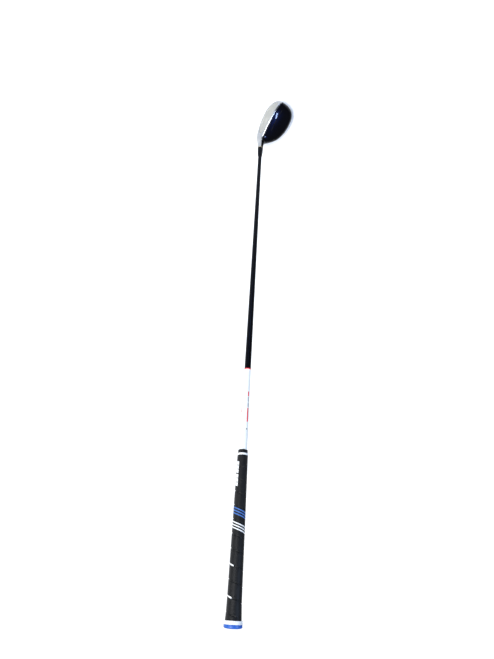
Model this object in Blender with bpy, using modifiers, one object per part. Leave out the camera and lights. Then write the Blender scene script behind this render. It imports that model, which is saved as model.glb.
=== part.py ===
"""A fairway wood: a hollow steel head, a painted tapered shaft and a spiral-wrapped rubber grip.

The club stands at address: +X from heel to toe, +Y towards the target, +Z up, the sole on z = 0.
The origin is the middle of the flat on the sole. Sizes are in metres.
"""

import math

import bmesh
import bpy
from mathutils import Matrix, Vector

# Whole club
CLUB_LENGTH = 1.080  # from the ground to the butt end, along the shaft's axis
LIE = math.radians(58)  # shaft's axis above the ground
LOFT = math.radians(17.5)  # face's lean away from upright
AXIS_X = -0.035  # where the shaft's axis meets the ground
AXIS_Y = 0.003
GAP = 0.0003  # between neighbours that touch or seat on each other
ROUND = 24  # sides of each round piece

# Head outline. A power of 2 closes the head's end as an ellipse does, a higher one more squarely.
TOE_X = 0.0475
MID_X = 0.005  # widest place, heel to toe
HEEL_REACH = 0.062  # from the widest place to where the back outline would close at the heel
LEAD_Y = 0.0185  # leading edge
SPINE_Y = -0.005  # line that the front and back outlines close on at the toe
BACK_Y = -0.0495
BULGE_R = 0.220  # face's curve, heel to toe
CROWN_Z = 0.0335
CROWN_SPAN_R = 0.360  # crown's curve, heel to toe
CROWN_RISE = 0.0012
SKIRT_Z = 0.0135
SKIRT_TOE_RISE = 0.0025
SOLE_ROCKER_R = 0.200  # sole's curve, heel to toe
SOLE_FLAT = 0.0008  # depth ground off the sole's lowest place
LEAD_ROUND = 0.0035
TOP_ROUND = 0.0022
FRONT_POWER = 2.5
BACK_POWER = 2.6
TOP_POWER = 2.3
SOLE_POWER = 3.0
ROUNDS_POWER = 4.0  # how late the edge rounds fade at the toe
SOLE_SECTION_POWER = 2.4
CROWN_OUT_POWER = 2.1
CROWN_UP_POWER = 2.2
HEEL_LIMIT = 0.95  # share of HEEL_REACH past which the outline no longer narrows

# Head walls and panel lines
BODY_WALL = 0.0017
FACE_WALL = 0.0022
CROWN_WALL = 0.0008
CROWN_EDGE = 0.0015  # painted crown starts this far behind the top line
STEP_AT = 0.0125  # crown's step, behind the top line
STEP_RUN = 0.0020
STEP_DROP = 0.0010
PANEL_TOE_INSET = 0.0115  # toe end of the lowered crown panel, from the end of the toe
PANEL_TOE_FADE = 0.004
PANEL_HEEL_INSET = 0.0014  # heel end of the lowered crown panel, from the neck's bend
PANEL_HEEL_FADE = 0.016
PANEL_BACK_START = 0.65  # share of the crown's depth where the step starts to fade
PANEL_BACK_FADE = 0.30
SHORT_CHORD = 0.030  # where the crown is less deep than this, its front lines close up
CROWN_HEEL = 0.014  # how far the crown runs round the heel, along the neck's bend
FACE_TOE_INSET = 0.008
FACE_TOE_CURVE = 0.018
FACE_TOE_CLOSE = 0.93  # how far the face's edge closes in at its toe end
FACE_HEEL = 0.0026  # how far the face runs round the heel, along the neck's bend
FACE_HEEL_CURVE = 0.020
FACE_HEEL_CLOSE = 0.75
FACE_HALF = 0.44  # share of the front wall's height, either side of its middle

# Stations round a section: close together at the skirt, so that both rims there stand upright
SOLE_TURNS = (87, 77, 64, 50, 38, 27, 18, 9, 0)
PANEL_SHARES = (0, 0.13, 0.26, 0.39, 0.52, 0.65, 0.77, 0.89, 0.97)
TOE_SHARES = (0.998, 0.985)  # of the way from the widest place to the end of the toe
CROWN_SPANS = 8  # lengths of the skin between the lowered panel's toe end and the neck's bend
BEND_SPANS = 3  # between each two marks round the bend
# Where each stretch of a section comes to lie on the neck's circle, in degrees
CLOCKS = {
    "sole": (180, 290),
    "lead": (296, 315),
    "face": (320, 400),
    "top": (405, 425),
    "crown": (432, 539),
}

# Neck and bore
FILLET_R = 0.018  # hollow between crown and neck
NECKING_START = -0.002  # where the head's section starts to close to the neck's circle
NECKING_LENGTH = 0.039
NECK_LENGTH = 0.0199  # straight part, above the bend
NECK_WALL = 0.0020
NECK_FLARE = 0.00025
BORE_DEPTH = 0.0321
STOP_LENGTH = 0.0029
STOP_LIP = 0.00155  # bore's stop stands in this far
HOSEL_TUBE_WALL = 0.00095

# Rear weight in the sole
PORT_X = 0.003
PORT_TURN = math.radians(46)  # how far back round the sole's curve
PORT_NUDGE = math.radians(3)  # a little further round, to find the skin's slope there
WEIGHT_R = 0.0060
WEIGHT_H = 0.0034
SCREW_HEAD_R = 0.0032
SCREW_HEAD_H = 0.0014
SCREW_R = 0.0018
SCREW_LENGTH = 0.0080
SOCKET_R = 0.0016
SOCKET_DEPTH = 0.0009
WEIGHT_CHAMFER = 0.0004
SCREW_CHAMFER = 0.0003
BOSS_WALL = 0.0018
BOSS_DEPTH = 0.0085
PORT_CURVE_R = 0.033  # sole's tightest curve round the port
CUT_OVER = 0.01  # a cutter runs this far past the face that it opens

# Hot-melt pad inside the head
PAD_R = 0.009
PAD_H = 0.004
PAD_Y = 0.002

# Shaft
SHAFT_TIP_R = 0.00445
SHAFT_WHITE_END_R = 0.00615
SHAFT_MOUTH_R = 0.00745
BUTT_SWELL = 0.00017  # shaft's growth in radius from the grip's mouth to the butt
TIP_PARALLEL_END = 0.150  # along the axis, from the ground
WHITE_LENGTH = 0.156  # white length of the shaft, below the grip's mouth
TIP_WALL = 0.0019
SHAFT_WALL = 0.0011
TIP_CLEAR = 0.0021  # from the bore's stop to the shaft's tip: room for the pin's head

# Tip pin
PIN_HEAD_CLEAR = 0.00055  # between its head and the hosel's bore
PIN_HEAD_H = 0.0014
PIN_LENGTH = 0.022

# Ferrule
RING_H = 0.0014
FERRULE_H = 0.0250
FERRULE_EDGE = 0.00045  # its wall at the top
FERRULE_POWER = 1.5  # how hollow its taper is

# Grip
GRIP_LENGTH = 0.267
GRIP_WALL = 0.0041  # rubber over the shaft's butt
GRIP_TAPER_POWER = 1.15
CAP_PROUD = 0.00245  # cap's rim outside the grip's even taper
CAP_FLARE = 0.0125  # length over which the grip flares out to it
CAP_H = 0.0055
CAP_DOME = 0.0025
CAP_ROUND_POWER = 0.7
VENT_R = 0.0012
BUTT_RING_H = 0.0048
BUTT_RING_DEPTH = 0.0022
BUTT_RING_CHAMFER = 0.0004
TAPE_WALL = 0.0002
TAPE_GAP = 0.0002
TAPE_SHORT = 0.018  # tape stops this far inside the grip's mouth
RELIEF_STEP = 0.001  # bore's step down to the bare shaft, and its distance from the tape
MOUTH_WALL = 0.00085
MOUTH_SWELL = 0.0006  # grip is this much fuller than its mouth, just behind the ring
MOUTH_RING_PROUD = 0.00075  # ring's radius over the mouth's
MOUTH_RING_H = 0.0032
MOUTH_RING_DEPTH = 0.0008
MOUTH_RING_SOFT = 0.0006
MOUTH_LIP = 0.0060
WRAP_PITCH = 0.022
WRAP_GROOVE = 0.0026
WRAP_SIDE = 0.2  # share of the groove's width that each of its sides takes
WRAP_DEPTH = 0.0008
WRAP_START = 0.0137  # from the butt end

AXIS_DIR = Vector((-math.cos(LIE), 0.0, math.sin(LIE)))
BORE_R = SHAFT_TIP_R + GAP
NECK_TOP_R = BORE_R + NECK_WALL
NECK_BASE_R = NECK_TOP_R + NECK_FLARE
BEND_R = FILLET_R + NECK_BASE_R  # from the bend's centre to the shaft's axis
BEND_Z = CROWN_Z - (AXIS_X - MID_X) ** 2 / (2 * CROWN_SPAN_R) + FILLET_R
BEND_X = AXIS_X + (BEND_R - BEND_Z * math.cos(LIE)) / math.sin(LIE)
BEND_LENGTH = BEND_R * LIE
BEND_END = BEND_X * AXIS_DIR.x + BEND_Z * AXIS_DIR.z - AXIS_X * AXIS_DIR.x
HOSEL_TOP = BEND_END + NECK_LENGTH  # along the axis, from the ground
BORE_FLOOR = HOSEL_TOP - BORE_DEPTH
TIP_END = BORE_FLOOR + TIP_CLEAR
TIP_BORE_R = SHAFT_TIP_R - TIP_WALL
PANEL_TOE_X = TOE_X - PANEL_TOE_INSET
PANEL_HEEL_X = BEND_X + PANEL_HEEL_INSET
FACE_TOE_X = TOE_X - FACE_TOE_INSET
FACE_HEEL_X = BEND_X - FACE_HEEL
BOSS_R = WEIGHT_R + GAP + BOSS_WALL
BOSS_SUNK = BOSS_R**2 / (2 * PORT_CURVE_R)
GRIP_MOUTH = CLUB_LENGTH - GRIP_LENGTH
WHITE_END = GRIP_MOUTH - WHITE_LENGTH
SHAFT_BUTT_R = SHAFT_MOUTH_R + BUTT_SWELL
GRIP_BUTT_R = SHAFT_BUTT_R + GRIP_WALL
CAP_R = GRIP_BUTT_R + CAP_PROUD
MOUTH_BORE_R = SHAFT_MOUTH_R + TAPE_GAP
MOUTH_R = MOUTH_BORE_R + MOUTH_WALL
MOUTH_RING_R = MOUTH_R + MOUTH_RING_PROUD
MOUTH_STEP = GRIP_LENGTH - MOUTH_LIP
MOUTH_SEAT = MOUTH_STEP - MOUTH_RING_H - 2 * GAP
WRAP_ROOM = MOUTH_SEAT - 2 * WRAP_GROOVE - WRAP_START
WRAP_STEPS = int(ROUND * WRAP_ROOM / WRAP_PITCH)  # the groove's length, in sides of the grip


def smooth(share):
    """Eases from 0 to 1 as share goes from 0 to 1."""
    share = min(1.0, max(0.0, share))
    return share * share * (3 - 2 * share)


def mix(start, end, share):
    return start + (end - start) * share


# ---------------------------------------------------------------- scene and helpers


def empty_scene():
    for item in list(bpy.data.objects):
        bpy.data.objects.remove(item, do_unlink=True)


def new_collection(name):
    group = bpy.data.collections.new(name)
    bpy.context.scene.collection.children.link(group)
    return group


def finish(name, colour, roughness, metallic=0.0, coat=0.0):
    """A plain surface: base colour, roughness, metallic and clear coat."""
    material = bpy.data.materials.new(name)
    material.use_nodes = True
    shader = material.node_tree.nodes["Principled BSDF"]
    shader.inputs["Base Color"].default_value = (*colour, 1.0)
    shader.inputs["Roughness"].default_value = roughness
    shader.inputs["Metallic"].default_value = metallic
    shader.inputs["Coat Weight"].default_value = coat
    material.diffuse_color = (*colour, 1.0)
    return material


def mesh_object(name, bm, group, material=None, parent=None, sharp=35):
    mesh = bpy.data.meshes.new(name)
    bm.to_mesh(mesh)
    bm.free()
    mesh.shade_smooth()
    mesh.set_sharp_from_angle(angle=math.radians(sharp))
    if material:
        mesh.materials.append(material)
    item = bpy.data.objects.new(name, mesh)
    item.parent = parent
    group.objects.link(item)
    return item


def turned(name, outer, inner, group, material=None, parent=None):
    """A piece turned about local Z. Both outlines are (radius, height) pairs.

    The outer one runs from top to bottom and the inner one back up from bottom to top. A piece
    with no hole has no inner outline, and its outer one starts and ends on the axis.
    """
    bm = bmesh.new()
    corners = [bm.verts.new((radius, 0.0, height)) for radius, height in outer + inner]
    for first, second in zip(corners, corners[1:] + (corners[:1] if inner else [])):
        bm.edges.new((first, second))
    item = mesh_object(name, bm, group, material, parent)
    screw = item.modifiers.new("turn", "SCREW")
    screw.axis = "Z"
    screw.steps = ROUND
    screw.render_steps = ROUND
    screw.use_merge_vertices = True
    screw.merge_threshold = 0.00001
    screw.use_smooth_shade = True
    return item


def plain_cylinder(name, radius, low, high, group, parent=None, sides=ROUND):
    bm = bmesh.new()
    middle = Matrix.Translation((0.0, 0.0, (low + high) / 2))
    bmesh.ops.create_cone(
        bm,
        cap_ends=True,
        segments=sides,
        radius1=radius,
        radius2=radius,
        depth=high - low,
        matrix=middle,
    )
    return mesh_object(name, bm, group, parent=parent)


def as_cutter(item):
    item.hide_render = True
    item.display_type = "WIRE"
    return item


def combine(item, other, operation):
    step = item.modifiers.new(operation.lower() + "_" + other.name, "BOOLEAN")
    step.operation = operation
    step.object = other
    step.solver = "EXACT"


def empty_frame(name, matrix, group):
    frame = bpy.data.objects.new(name, None)
    frame.empty_display_size = 0.02
    frame.matrix_world = matrix
    group.objects.link(frame)
    return frame


# ---------------------------------------------------------------- head surface


def toe_round(x, power):
    """1 up to the head's widest place, falling to 0 at the end of the toe."""
    reach = min(1.0, max(0.0, (x - MID_X) / (TOE_X - MID_X)))
    return (1 - reach**power) ** (1 / power)


def heel_round(x):
    reach = min(HEEL_LIMIT, max(0.0, (MID_X - x) / HEEL_REACH))
    return math.sqrt(1 - reach**2)


def outline(x):
    """The head's section at x: front, back, top, sole and skirt places."""
    toe_share = max(0.0, (x - MID_X) / (TOE_X - MID_X))
    bulge_y = LEAD_Y - (x - MID_X) ** 2 / (2 * BULGE_R)
    skirt = SKIRT_Z + SKIRT_TOE_RISE * toe_share**2
    crown = CROWN_Z - min(0.0, x - MID_X) ** 2 / (2 * CROWN_SPAN_R)
    sole = x**2 / (2 * SOLE_ROCKER_R) - SOLE_FLAT
    return {
        "front": SPINE_Y + (bulge_y - SPINE_Y) * toe_round(x, FRONT_POWER),
        "back": SPINE_Y + (BACK_Y - SPINE_Y) * toe_round(x, BACK_POWER) * heel_round(x),
        "skirt": skirt,
        "top": skirt + (crown - skirt) * toe_round(x, TOP_POWER),
        "sole": skirt - (skirt - sole) * toe_round(x, SOLE_POWER),
        "size": toe_round(x, ROUNDS_POWER),
    }


def face_share(x, side):
    """Where the face plate's edge crosses the front wall, as a share of its height."""
    toe = max(0.0, (x - FACE_TOE_X + FACE_TOE_CURVE) / FACE_TOE_CURVE)
    heel = max(0.0, (FACE_HEEL_X + FACE_HEEL_CURVE - x) / FACE_HEEL_CURVE)
    half = FACE_HALF * math.sqrt(1 - FACE_TOE_CLOSE * min(1.0, toe) ** 2)
    half *= math.sqrt(1 - FACE_HEEL_CLOSE * min(1.0, heel) ** 2)
    return 0.5 + side * half


def step_drop(x, behind, chord):
    """How far the crown panel lies below the crown's front band."""
    drop = STEP_DROP * smooth((behind - STEP_AT) / STEP_RUN)
    drop *= smooth((PANEL_TOE_X - x) / PANEL_TOE_FADE)
    drop *= smooth((x - PANEL_HEEL_X) / PANEL_HEEL_FADE)
    return drop * (1 - smooth((behind / chord - PANEL_BACK_START) / PANEL_BACK_FADE))


def body_point(x, kind, value):
    """A point (y, z) of the head's section at x, on one of its five stretches."""
    form = outline(x)
    height = form["top"] - form["sole"]
    lean = math.tan(LOFT)
    lead = LEAD_ROUND * form["size"]
    top = TOP_ROUND * form["size"]
    lead_cut = lead * math.tan((math.pi / 2 + LOFT) / 2)
    top_cut = top * math.tan((math.pi / 2 - LOFT) / 2)
    low_y = form["front"] - lead_cut
    high_y = form["front"] - height * lean - top_cut
    if kind == "sole":
        chord = low_y - form["back"]
        power = 2 / SOLE_SECTION_POWER
        y = low_y - chord * math.sin(value) ** power
        z = form["skirt"] - (form["skirt"] - form["sole"]) * max(0.0, math.cos(value)) ** power
    elif kind == "sole_edge":
        y = form["back"]
        z = form["skirt"] - GAP / 2
    elif kind == "lead":
        turn = (math.pi / 2 + LOFT) * value
        y = low_y + lead * math.sin(turn)
        z = form["sole"] + lead * (1 - math.cos(turn))
    elif kind in ("front", "face"):
        start = lead_cut * math.cos(LOFT)
        end = height - top_cut * math.cos(LOFT)
        share = value
        if kind == "face":
            side, part, shift = value
            edge = face_share(x, side) + shift / (end - start)
            share = mix(0.5, edge, part)
        z = form["sole"] + mix(start, end, share)
        y = form["front"] - (z - form["sole"]) * lean
    elif kind == "top":
        turn = (math.pi / 2 - LOFT) * (1 - value)
        y = high_y + top * math.sin(turn)
        z = form["top"] - top * (1 - math.cos(turn))
    else:
        chord = high_y - form["back"]
        fit = min(1.0, chord / SHORT_CHORD)
        if kind == "crown_edge":
            y = form["back"]
            z = form["skirt"] + GAP / 2
        else:
            out = CROWN_OUT_POWER / 2
            panel_start = math.asin(min(1.0, (STEP_AT + STEP_RUN) * fit / chord) ** out)
            if kind == "behind":
                behind = value * fit
            else:
                behind = chord * math.sin(mix(panel_start, math.pi / 2, value)) ** (1 / out)
            turn = math.asin(min(1.0, behind / chord) ** out)
            share = behind / chord
            y = high_y - behind
            fall = max(0.0, math.cos(turn)) ** (2 / CROWN_UP_POWER)
            z = form["skirt"] + (form["top"] - form["skirt"]) * fall
            z += CROWN_RISE * form["size"] * 27 / 4 * share * (1 - share) ** 2  # peak is CROWN_RISE
            z -= step_drop(x, behind / fit, chord / fit)
    return y, max(0.0, z)


def head_point(path, station):
    """A point of the head's skin.

    path runs from the toe (negative) to the bend between crown and neck (0), then round the
    bend and up the neck. There each section turns with the bend and closes to a circle.
    """
    kind, value, clock = station
    x = max(MID_X - HEEL_LIMIT * HEEL_REACH, BEND_X - path)
    y, height = body_point(x, kind, value)
    round_share = smooth((path - NECKING_START) / NECKING_LENGTH)
    neck_share = max(0.0, path - BEND_LENGTH) / NECK_LENGTH
    neck_r = mix(NECK_BASE_R, NECK_TOP_R, neck_share)
    neck_y = AXIS_Y + neck_r * math.cos(clock)
    neck_height = BEND_Z - BEND_R + neck_r * math.sin(clock)
    y = mix(y, neck_y, round_share)
    height = mix(height, neck_height, round_share)
    drop = BEND_Z - height
    turn = min(max(0.0, path / BEND_R), LIE)
    run = max(0.0, path - BEND_LENGTH)
    across = BEND_X - min(0.0, path) - drop * math.sin(turn) + run * AXIS_DIR.x
    up = BEND_Z - drop * math.cos(turn) + run * AXIS_DIR.z
    return Vector((across, y, up))


def clocked(stations, stretch):
    """Gives each station its place on the neck's circle."""
    start, end = CLOCKS[stretch]
    last = max(1, len(stations) - 1)
    turns = [math.radians(mix(start, end, index / last)) for index in range(len(stations))]
    return [(kind, value, turn) for (kind, value), turn in zip(stations, turns)]


def section_stations():
    """The stations round a section, from the skirt under the sole, up the face, over the crown."""
    sole = [("sole_edge", 0)] + [("sole", math.radians(turn)) for turn in SOLE_TURNS]
    lead = [("lead", share / 3) for share in (1, 2, 3)]
    face_low = [("face", (-1, 1, -GAP)), ("face", (-1, 1, 0)), ("face", (-1, 0.5, 0))]
    face_high = [("face", (1, part, 0)) for part in (0, 0.5, 1)] + [("face", (1, 1, GAP))]
    top = [("front", 1), ("top", 1 / 2), ("top", 1)]
    front_band = [("behind", CROWN_EDGE - GAP), ("behind", CROWN_EDGE), ("behind", STEP_AT)]
    panel = [("panel", share) for share in PANEL_SHARES] + [("crown_edge", 0)]
    loop = clocked(sole, "sole") + clocked(lead, "lead") + clocked(face_low + face_high, "face")
    loop += clocked(top, "top") + clocked(front_band + panel, "crown")
    marks = {
        "face": (len(sole) + len(lead) + 1, len(sole) + len(lead) + 5),
        "crown": (len(loop) - len(panel) - 2, len(loop) - 1),
    }
    return loop, marks


def spread(start, end, spans):
    """The places after start that divide the way to end into equal spans, end included."""
    return [mix(start, end, (index + 1) / spans) for index in range(spans)]


def path_stations():
    """The stations from toe to neck, and where the crown's and the face's ends fall in them."""
    xs = [mix(MID_X, TOE_X, share) for share in TOE_SHARES]
    crown_toe = xs[-1] - GAP
    panel_full = PANEL_TOE_X - PANEL_TOE_FADE
    xs += [crown_toe] + spread(crown_toe, FACE_TOE_X + GAP, 2)
    xs += [FACE_TOE_X, PANEL_TOE_X, panel_full] + spread(panel_full, BEND_X, CROWN_SPANS)[:-1]
    paths = [BEND_X - x for x in xs] + [0.0, FACE_HEEL]
    paths += [FACE_HEEL + GAP] + spread(FACE_HEEL + GAP, CROWN_HEEL, BEND_SPANS)
    paths += [CROWN_HEEL + GAP] + spread(CROWN_HEEL + GAP, BEND_LENGTH, BEND_SPANS)
    paths.append(BEND_LENGTH + NECK_LENGTH)
    marks = {
        "crown": (paths.index(BEND_X - crown_toe), paths.index(CROWN_HEEL)),
        "face": (paths.index(BEND_X - FACE_TOE_X), paths.index(FACE_HEEL)),
    }
    return paths, marks


def inside(cell, start, end, margin=0):
    return start - margin <= cell < end + margin


def head_panel(name, wanted, wall, group, material):
    """One panel of the head: the cells of the skin that it owns, thickened inwards.

    Between two panels lies a strip of cells, GAP wide, that neither owns.
    """
    loop, across = section_stations()
    paths, along = path_stations()
    count = len(loop)
    bm = bmesh.new()
    points = {}

    def corner(row, column):
        column %= count
        if column == count - 1 and not along["crown"][0] <= row <= along["crown"][1]:
            column = 0  # past the crown's ends there is no line to leave open at the skirt
        if (row, column) not in points:
            points[row, column] = bm.verts.new(head_point(paths[row], loop[column]))
        return points[row, column]

    for row in range(len(paths) - 1):
        for column in range(count):
            owner = "body"
            for panel in ("crown", "face"):
                if inside(row, *along[panel], 1) and inside(column, *across[panel], 1):
                    owner = "line"
                if inside(row, *along[panel]) and inside(column, *across[panel]):
                    owner = panel
            if owner == wanted:
                corners = (
                    corner(row, column),
                    corner(row + 1, column),
                    corner(row + 1, column + 1),
                    corner(row, column + 1),
                )
                distinct = list(dict.fromkeys(corners))
                if len(distinct) > 2:
                    bm.faces.new(distinct)
    if wanted == "body":
        bm.faces.new([corner(0, column) for column in range(count - 1)])
    item = mesh_object(name, bm, group, material)
    shell = item.modifiers.new("wall", "SOLIDIFY")
    shell.thickness = wall
    shell.offset = -1.0
    shell.use_even_offset = False
    return item


# ---------------------------------------------------------------- pieces


def axis_frame(group):
    """Local Z is the shaft's axis, measured up from the ground."""
    turn = Matrix.Rotation(LIE - math.pi / 2, 4, "Y")
    return empty_frame("shaft_axis", Matrix.Translation((AXIS_X, AXIS_Y, 0.0)) @ turn, group)


def port_frame(group):
    """Local Z points out of the sole at the rear weight, with its zero on the skin."""
    path = BEND_X - PORT_X
    here = head_point(path, ("sole", PORT_TURN, 0.0))
    along = head_point(path - WEIGHT_R, ("sole", PORT_TURN, 0.0)) - here
    back = head_point(path, ("sole", PORT_TURN + PORT_NUDGE, 0.0)) - here
    out = along.cross(back).normalized()
    if out.z > 0:
        out.negate()
    turn = out.to_track_quat("Z", "Y").to_matrix().to_4x4()
    return empty_frame("weight_axis", Matrix.Translation(here) @ turn, group)


def head_body(group, cutters, steel, axis, port):
    body = head_panel("head_body", "body", BODY_WALL, group, steel)
    tube_r = BORE_R + HOSEL_TUBE_WALL
    tube = plain_cylinder(
        "hosel_tube", tube_r, BORE_FLOOR - STOP_LENGTH, HOSEL_TOP - GAP, cutters, axis
    )
    stop_end = BORE_FLOOR - STOP_LENGTH - CUT_OVER
    stop = plain_cylinder("bore_stop", BORE_R - STOP_LIP, stop_end, HOSEL_TOP, cutters, axis)
    bore = plain_cylinder("hosel_bore", BORE_R, BORE_FLOOR, HOSEL_TOP + CUT_OVER, cutters, axis)
    boss = plain_cylinder("weight_boss", BOSS_R, -BOSS_DEPTH, -BOSS_SUNK, cutters, port)
    floor = -WEIGHT_H - GAP
    pocket = plain_cylinder("weight_pocket", WEIGHT_R + GAP, floor, CUT_OVER, cutters, port)
    hole_end = -BOSS_DEPTH - CUT_OVER
    thread = plain_cylinder("screw_hole", SCREW_R + GAP, hole_end, 0.0, cutters, port)
    for piece, operation in (
        (tube, "UNION"),
        (boss, "UNION"),
        (stop, "DIFFERENCE"),
        (bore, "DIFFERENCE"),
        (pocket, "DIFFERENCE"),
        (thread, "DIFFERENCE"),
    ):
        combine(body, as_cutter(piece), operation)
    return body


def rear_weight(group, tungsten, port):
    top = -GAP
    seat = top - SCREW_HEAD_H - GAP
    edge = WEIGHT_CHAMFER
    outer = [(WEIGHT_R - edge, top), (WEIGHT_R, top - edge), (WEIGHT_R, -WEIGHT_H)]
    inner = [
        (SCREW_R + GAP, -WEIGHT_H),
        (SCREW_R + GAP, seat),
        (SCREW_HEAD_R + GAP, seat),
        (SCREW_HEAD_R + GAP, top),
    ]
    return turned("rear_weight", outer, inner, group, tungsten, port)


def weight_screw(group, cutters, steel, port):
    top = -GAP
    under_head = top - SCREW_HEAD_H
    outer = [
        (0.0, top),
        (SCREW_HEAD_R - SCREW_CHAMFER, top),
        (SCREW_HEAD_R, top - SCREW_CHAMFER),
        (SCREW_HEAD_R, under_head),
        (SCREW_R, under_head),
        (SCREW_R, -SCREW_LENGTH),
        (0.0, -SCREW_LENGTH),
    ]
    screw = turned("weight_screw", outer, [], group, steel, port)
    socket = plain_cylinder(
        "screw_socket", SOCKET_R, top - SOCKET_DEPTH, CUT_OVER, cutters, port, sides=6
    )
    combine(screw, as_cutter(socket), "DIFFERENCE")
    return screw


def hot_melt_pad(group, glue):
    """A dab of soft glue on the sole's inner face that holds any loose grit in the head."""
    bm = bmesh.new()
    bmesh.ops.create_uvsphere(bm, u_segments=16, v_segments=10, radius=PAD_R)
    lower = [vert for vert in bm.verts if vert.co.z < -GAP]
    bmesh.ops.delete(bm, geom=lower, context="VERTS")
    rim = [edge for edge in bm.edges if edge.is_boundary]
    bmesh.ops.contextual_create(bm, geom=rim)
    for vert in bm.verts:
        vert.co.z *= PAD_H / PAD_R
    pad = mesh_object("hot_melt_pad", bm, group, glue)
    pad.location = (0.0, PAD_Y, BODY_WALL + GAP)
    return pad


def shaft_radius(height):
    """The shaft's outer radius at a height along the axis, from the ground."""
    marks = (
        (TIP_END, SHAFT_TIP_R),
        (TIP_PARALLEL_END, SHAFT_TIP_R),
        (WHITE_END, SHAFT_WHITE_END_R),
        (GRIP_MOUTH, SHAFT_MOUTH_R),
        (CLUB_LENGTH, SHAFT_BUTT_R),
    )
    for (low, low_r), (high, high_r) in zip(marks, marks[1:]):
        if height <= high:
            return mix(low_r, high_r, (height - low) / (high - low))
    return SHAFT_BUTT_R


def shaft(group, paint, axis):
    butt = CLUB_LENGTH - CAP_H - GAP
    half_way = (TIP_PARALLEL_END + WHITE_END) / 2
    heights = [butt, GRIP_MOUTH, (GRIP_MOUTH + WHITE_END) / 2, WHITE_END, half_way]
    outer = [(shaft_radius(height), height) for height in heights + [TIP_PARALLEL_END, TIP_END]]
    inner = [(TIP_BORE_R, TIP_END), (TIP_BORE_R, TIP_PARALLEL_END)]
    inner += [(shaft_radius(height) - SHAFT_WALL, height) for height in reversed(heights)]
    return turned("shaft", outer, inner, group, paint, axis)


def tip_pin(group, brass, axis):
    """A brass pin in the shaft's tip that sets the swing weight."""
    under = TIP_END - GAP
    head_r = BORE_R - PIN_HEAD_CLEAR
    outer = [
        (0.0, TIP_END + PIN_LENGTH),
        (TIP_BORE_R - GAP, TIP_END + PIN_LENGTH),
        (TIP_BORE_R - GAP, under),
        (head_r, under),
        (head_r, under - PIN_HEAD_H),
        (0.0, under - PIN_HEAD_H),
    ]
    return turned("tip_pin", outer, [], group, brass, axis)


def hosel_ring(group, metal, axis):
    low = HOSEL_TOP + GAP
    outer = [(NECK_TOP_R, low + RING_H), (NECK_TOP_R, low)]
    inner = [(BORE_R, low), (BORE_R, low + RING_H)]
    return turned("hosel_ring", outer, inner, group, metal, axis)


def ferrule(group, plastic, axis):
    low = HOSEL_TOP + RING_H + 2 * GAP
    outer = []
    for share in (1.0, 0.8, 0.6, 0.4, 0.2, 0.0):
        radius = mix(NECK_TOP_R, BORE_R + FERRULE_EDGE, share**FERRULE_POWER)
        outer.append((radius, low + FERRULE_H * share))
    inner = [(BORE_R, low), (BORE_R, low + FERRULE_H)]
    return turned("ferrule", outer, inner, group, plastic, axis)


def grip_tape(group, tape, axis):
    low = GRIP_MOUTH + TAPE_SHORT
    high = CLUB_LENGTH - CAP_H - GAP
    near = [(shaft_radius(height) + TAPE_GAP, height) for height in (low, high)]
    far = [(radius + TAPE_WALL, height) for radius, height in reversed(near)]
    return turned("grip_tape", far, near, group, tape, axis)


def grip_radius(from_butt):
    """The grip's outer radius, from the flare at the butt to the mouth."""
    share = min(1.0, max(0.0, from_butt / GRIP_LENGTH))
    flare = CAP_PROUD * math.exp(-from_butt / CAP_FLARE)
    return mix(GRIP_BUTT_R, MOUTH_R + MOUTH_SWELL, share**GRIP_TAPER_POWER) + flare


def sleeve_bore(height):
    """The grip's bore: over the tape, then down to the bare shaft at the mouth."""
    return shaft_radius(height) + 2 * TAPE_GAP + TAPE_WALL


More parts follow.
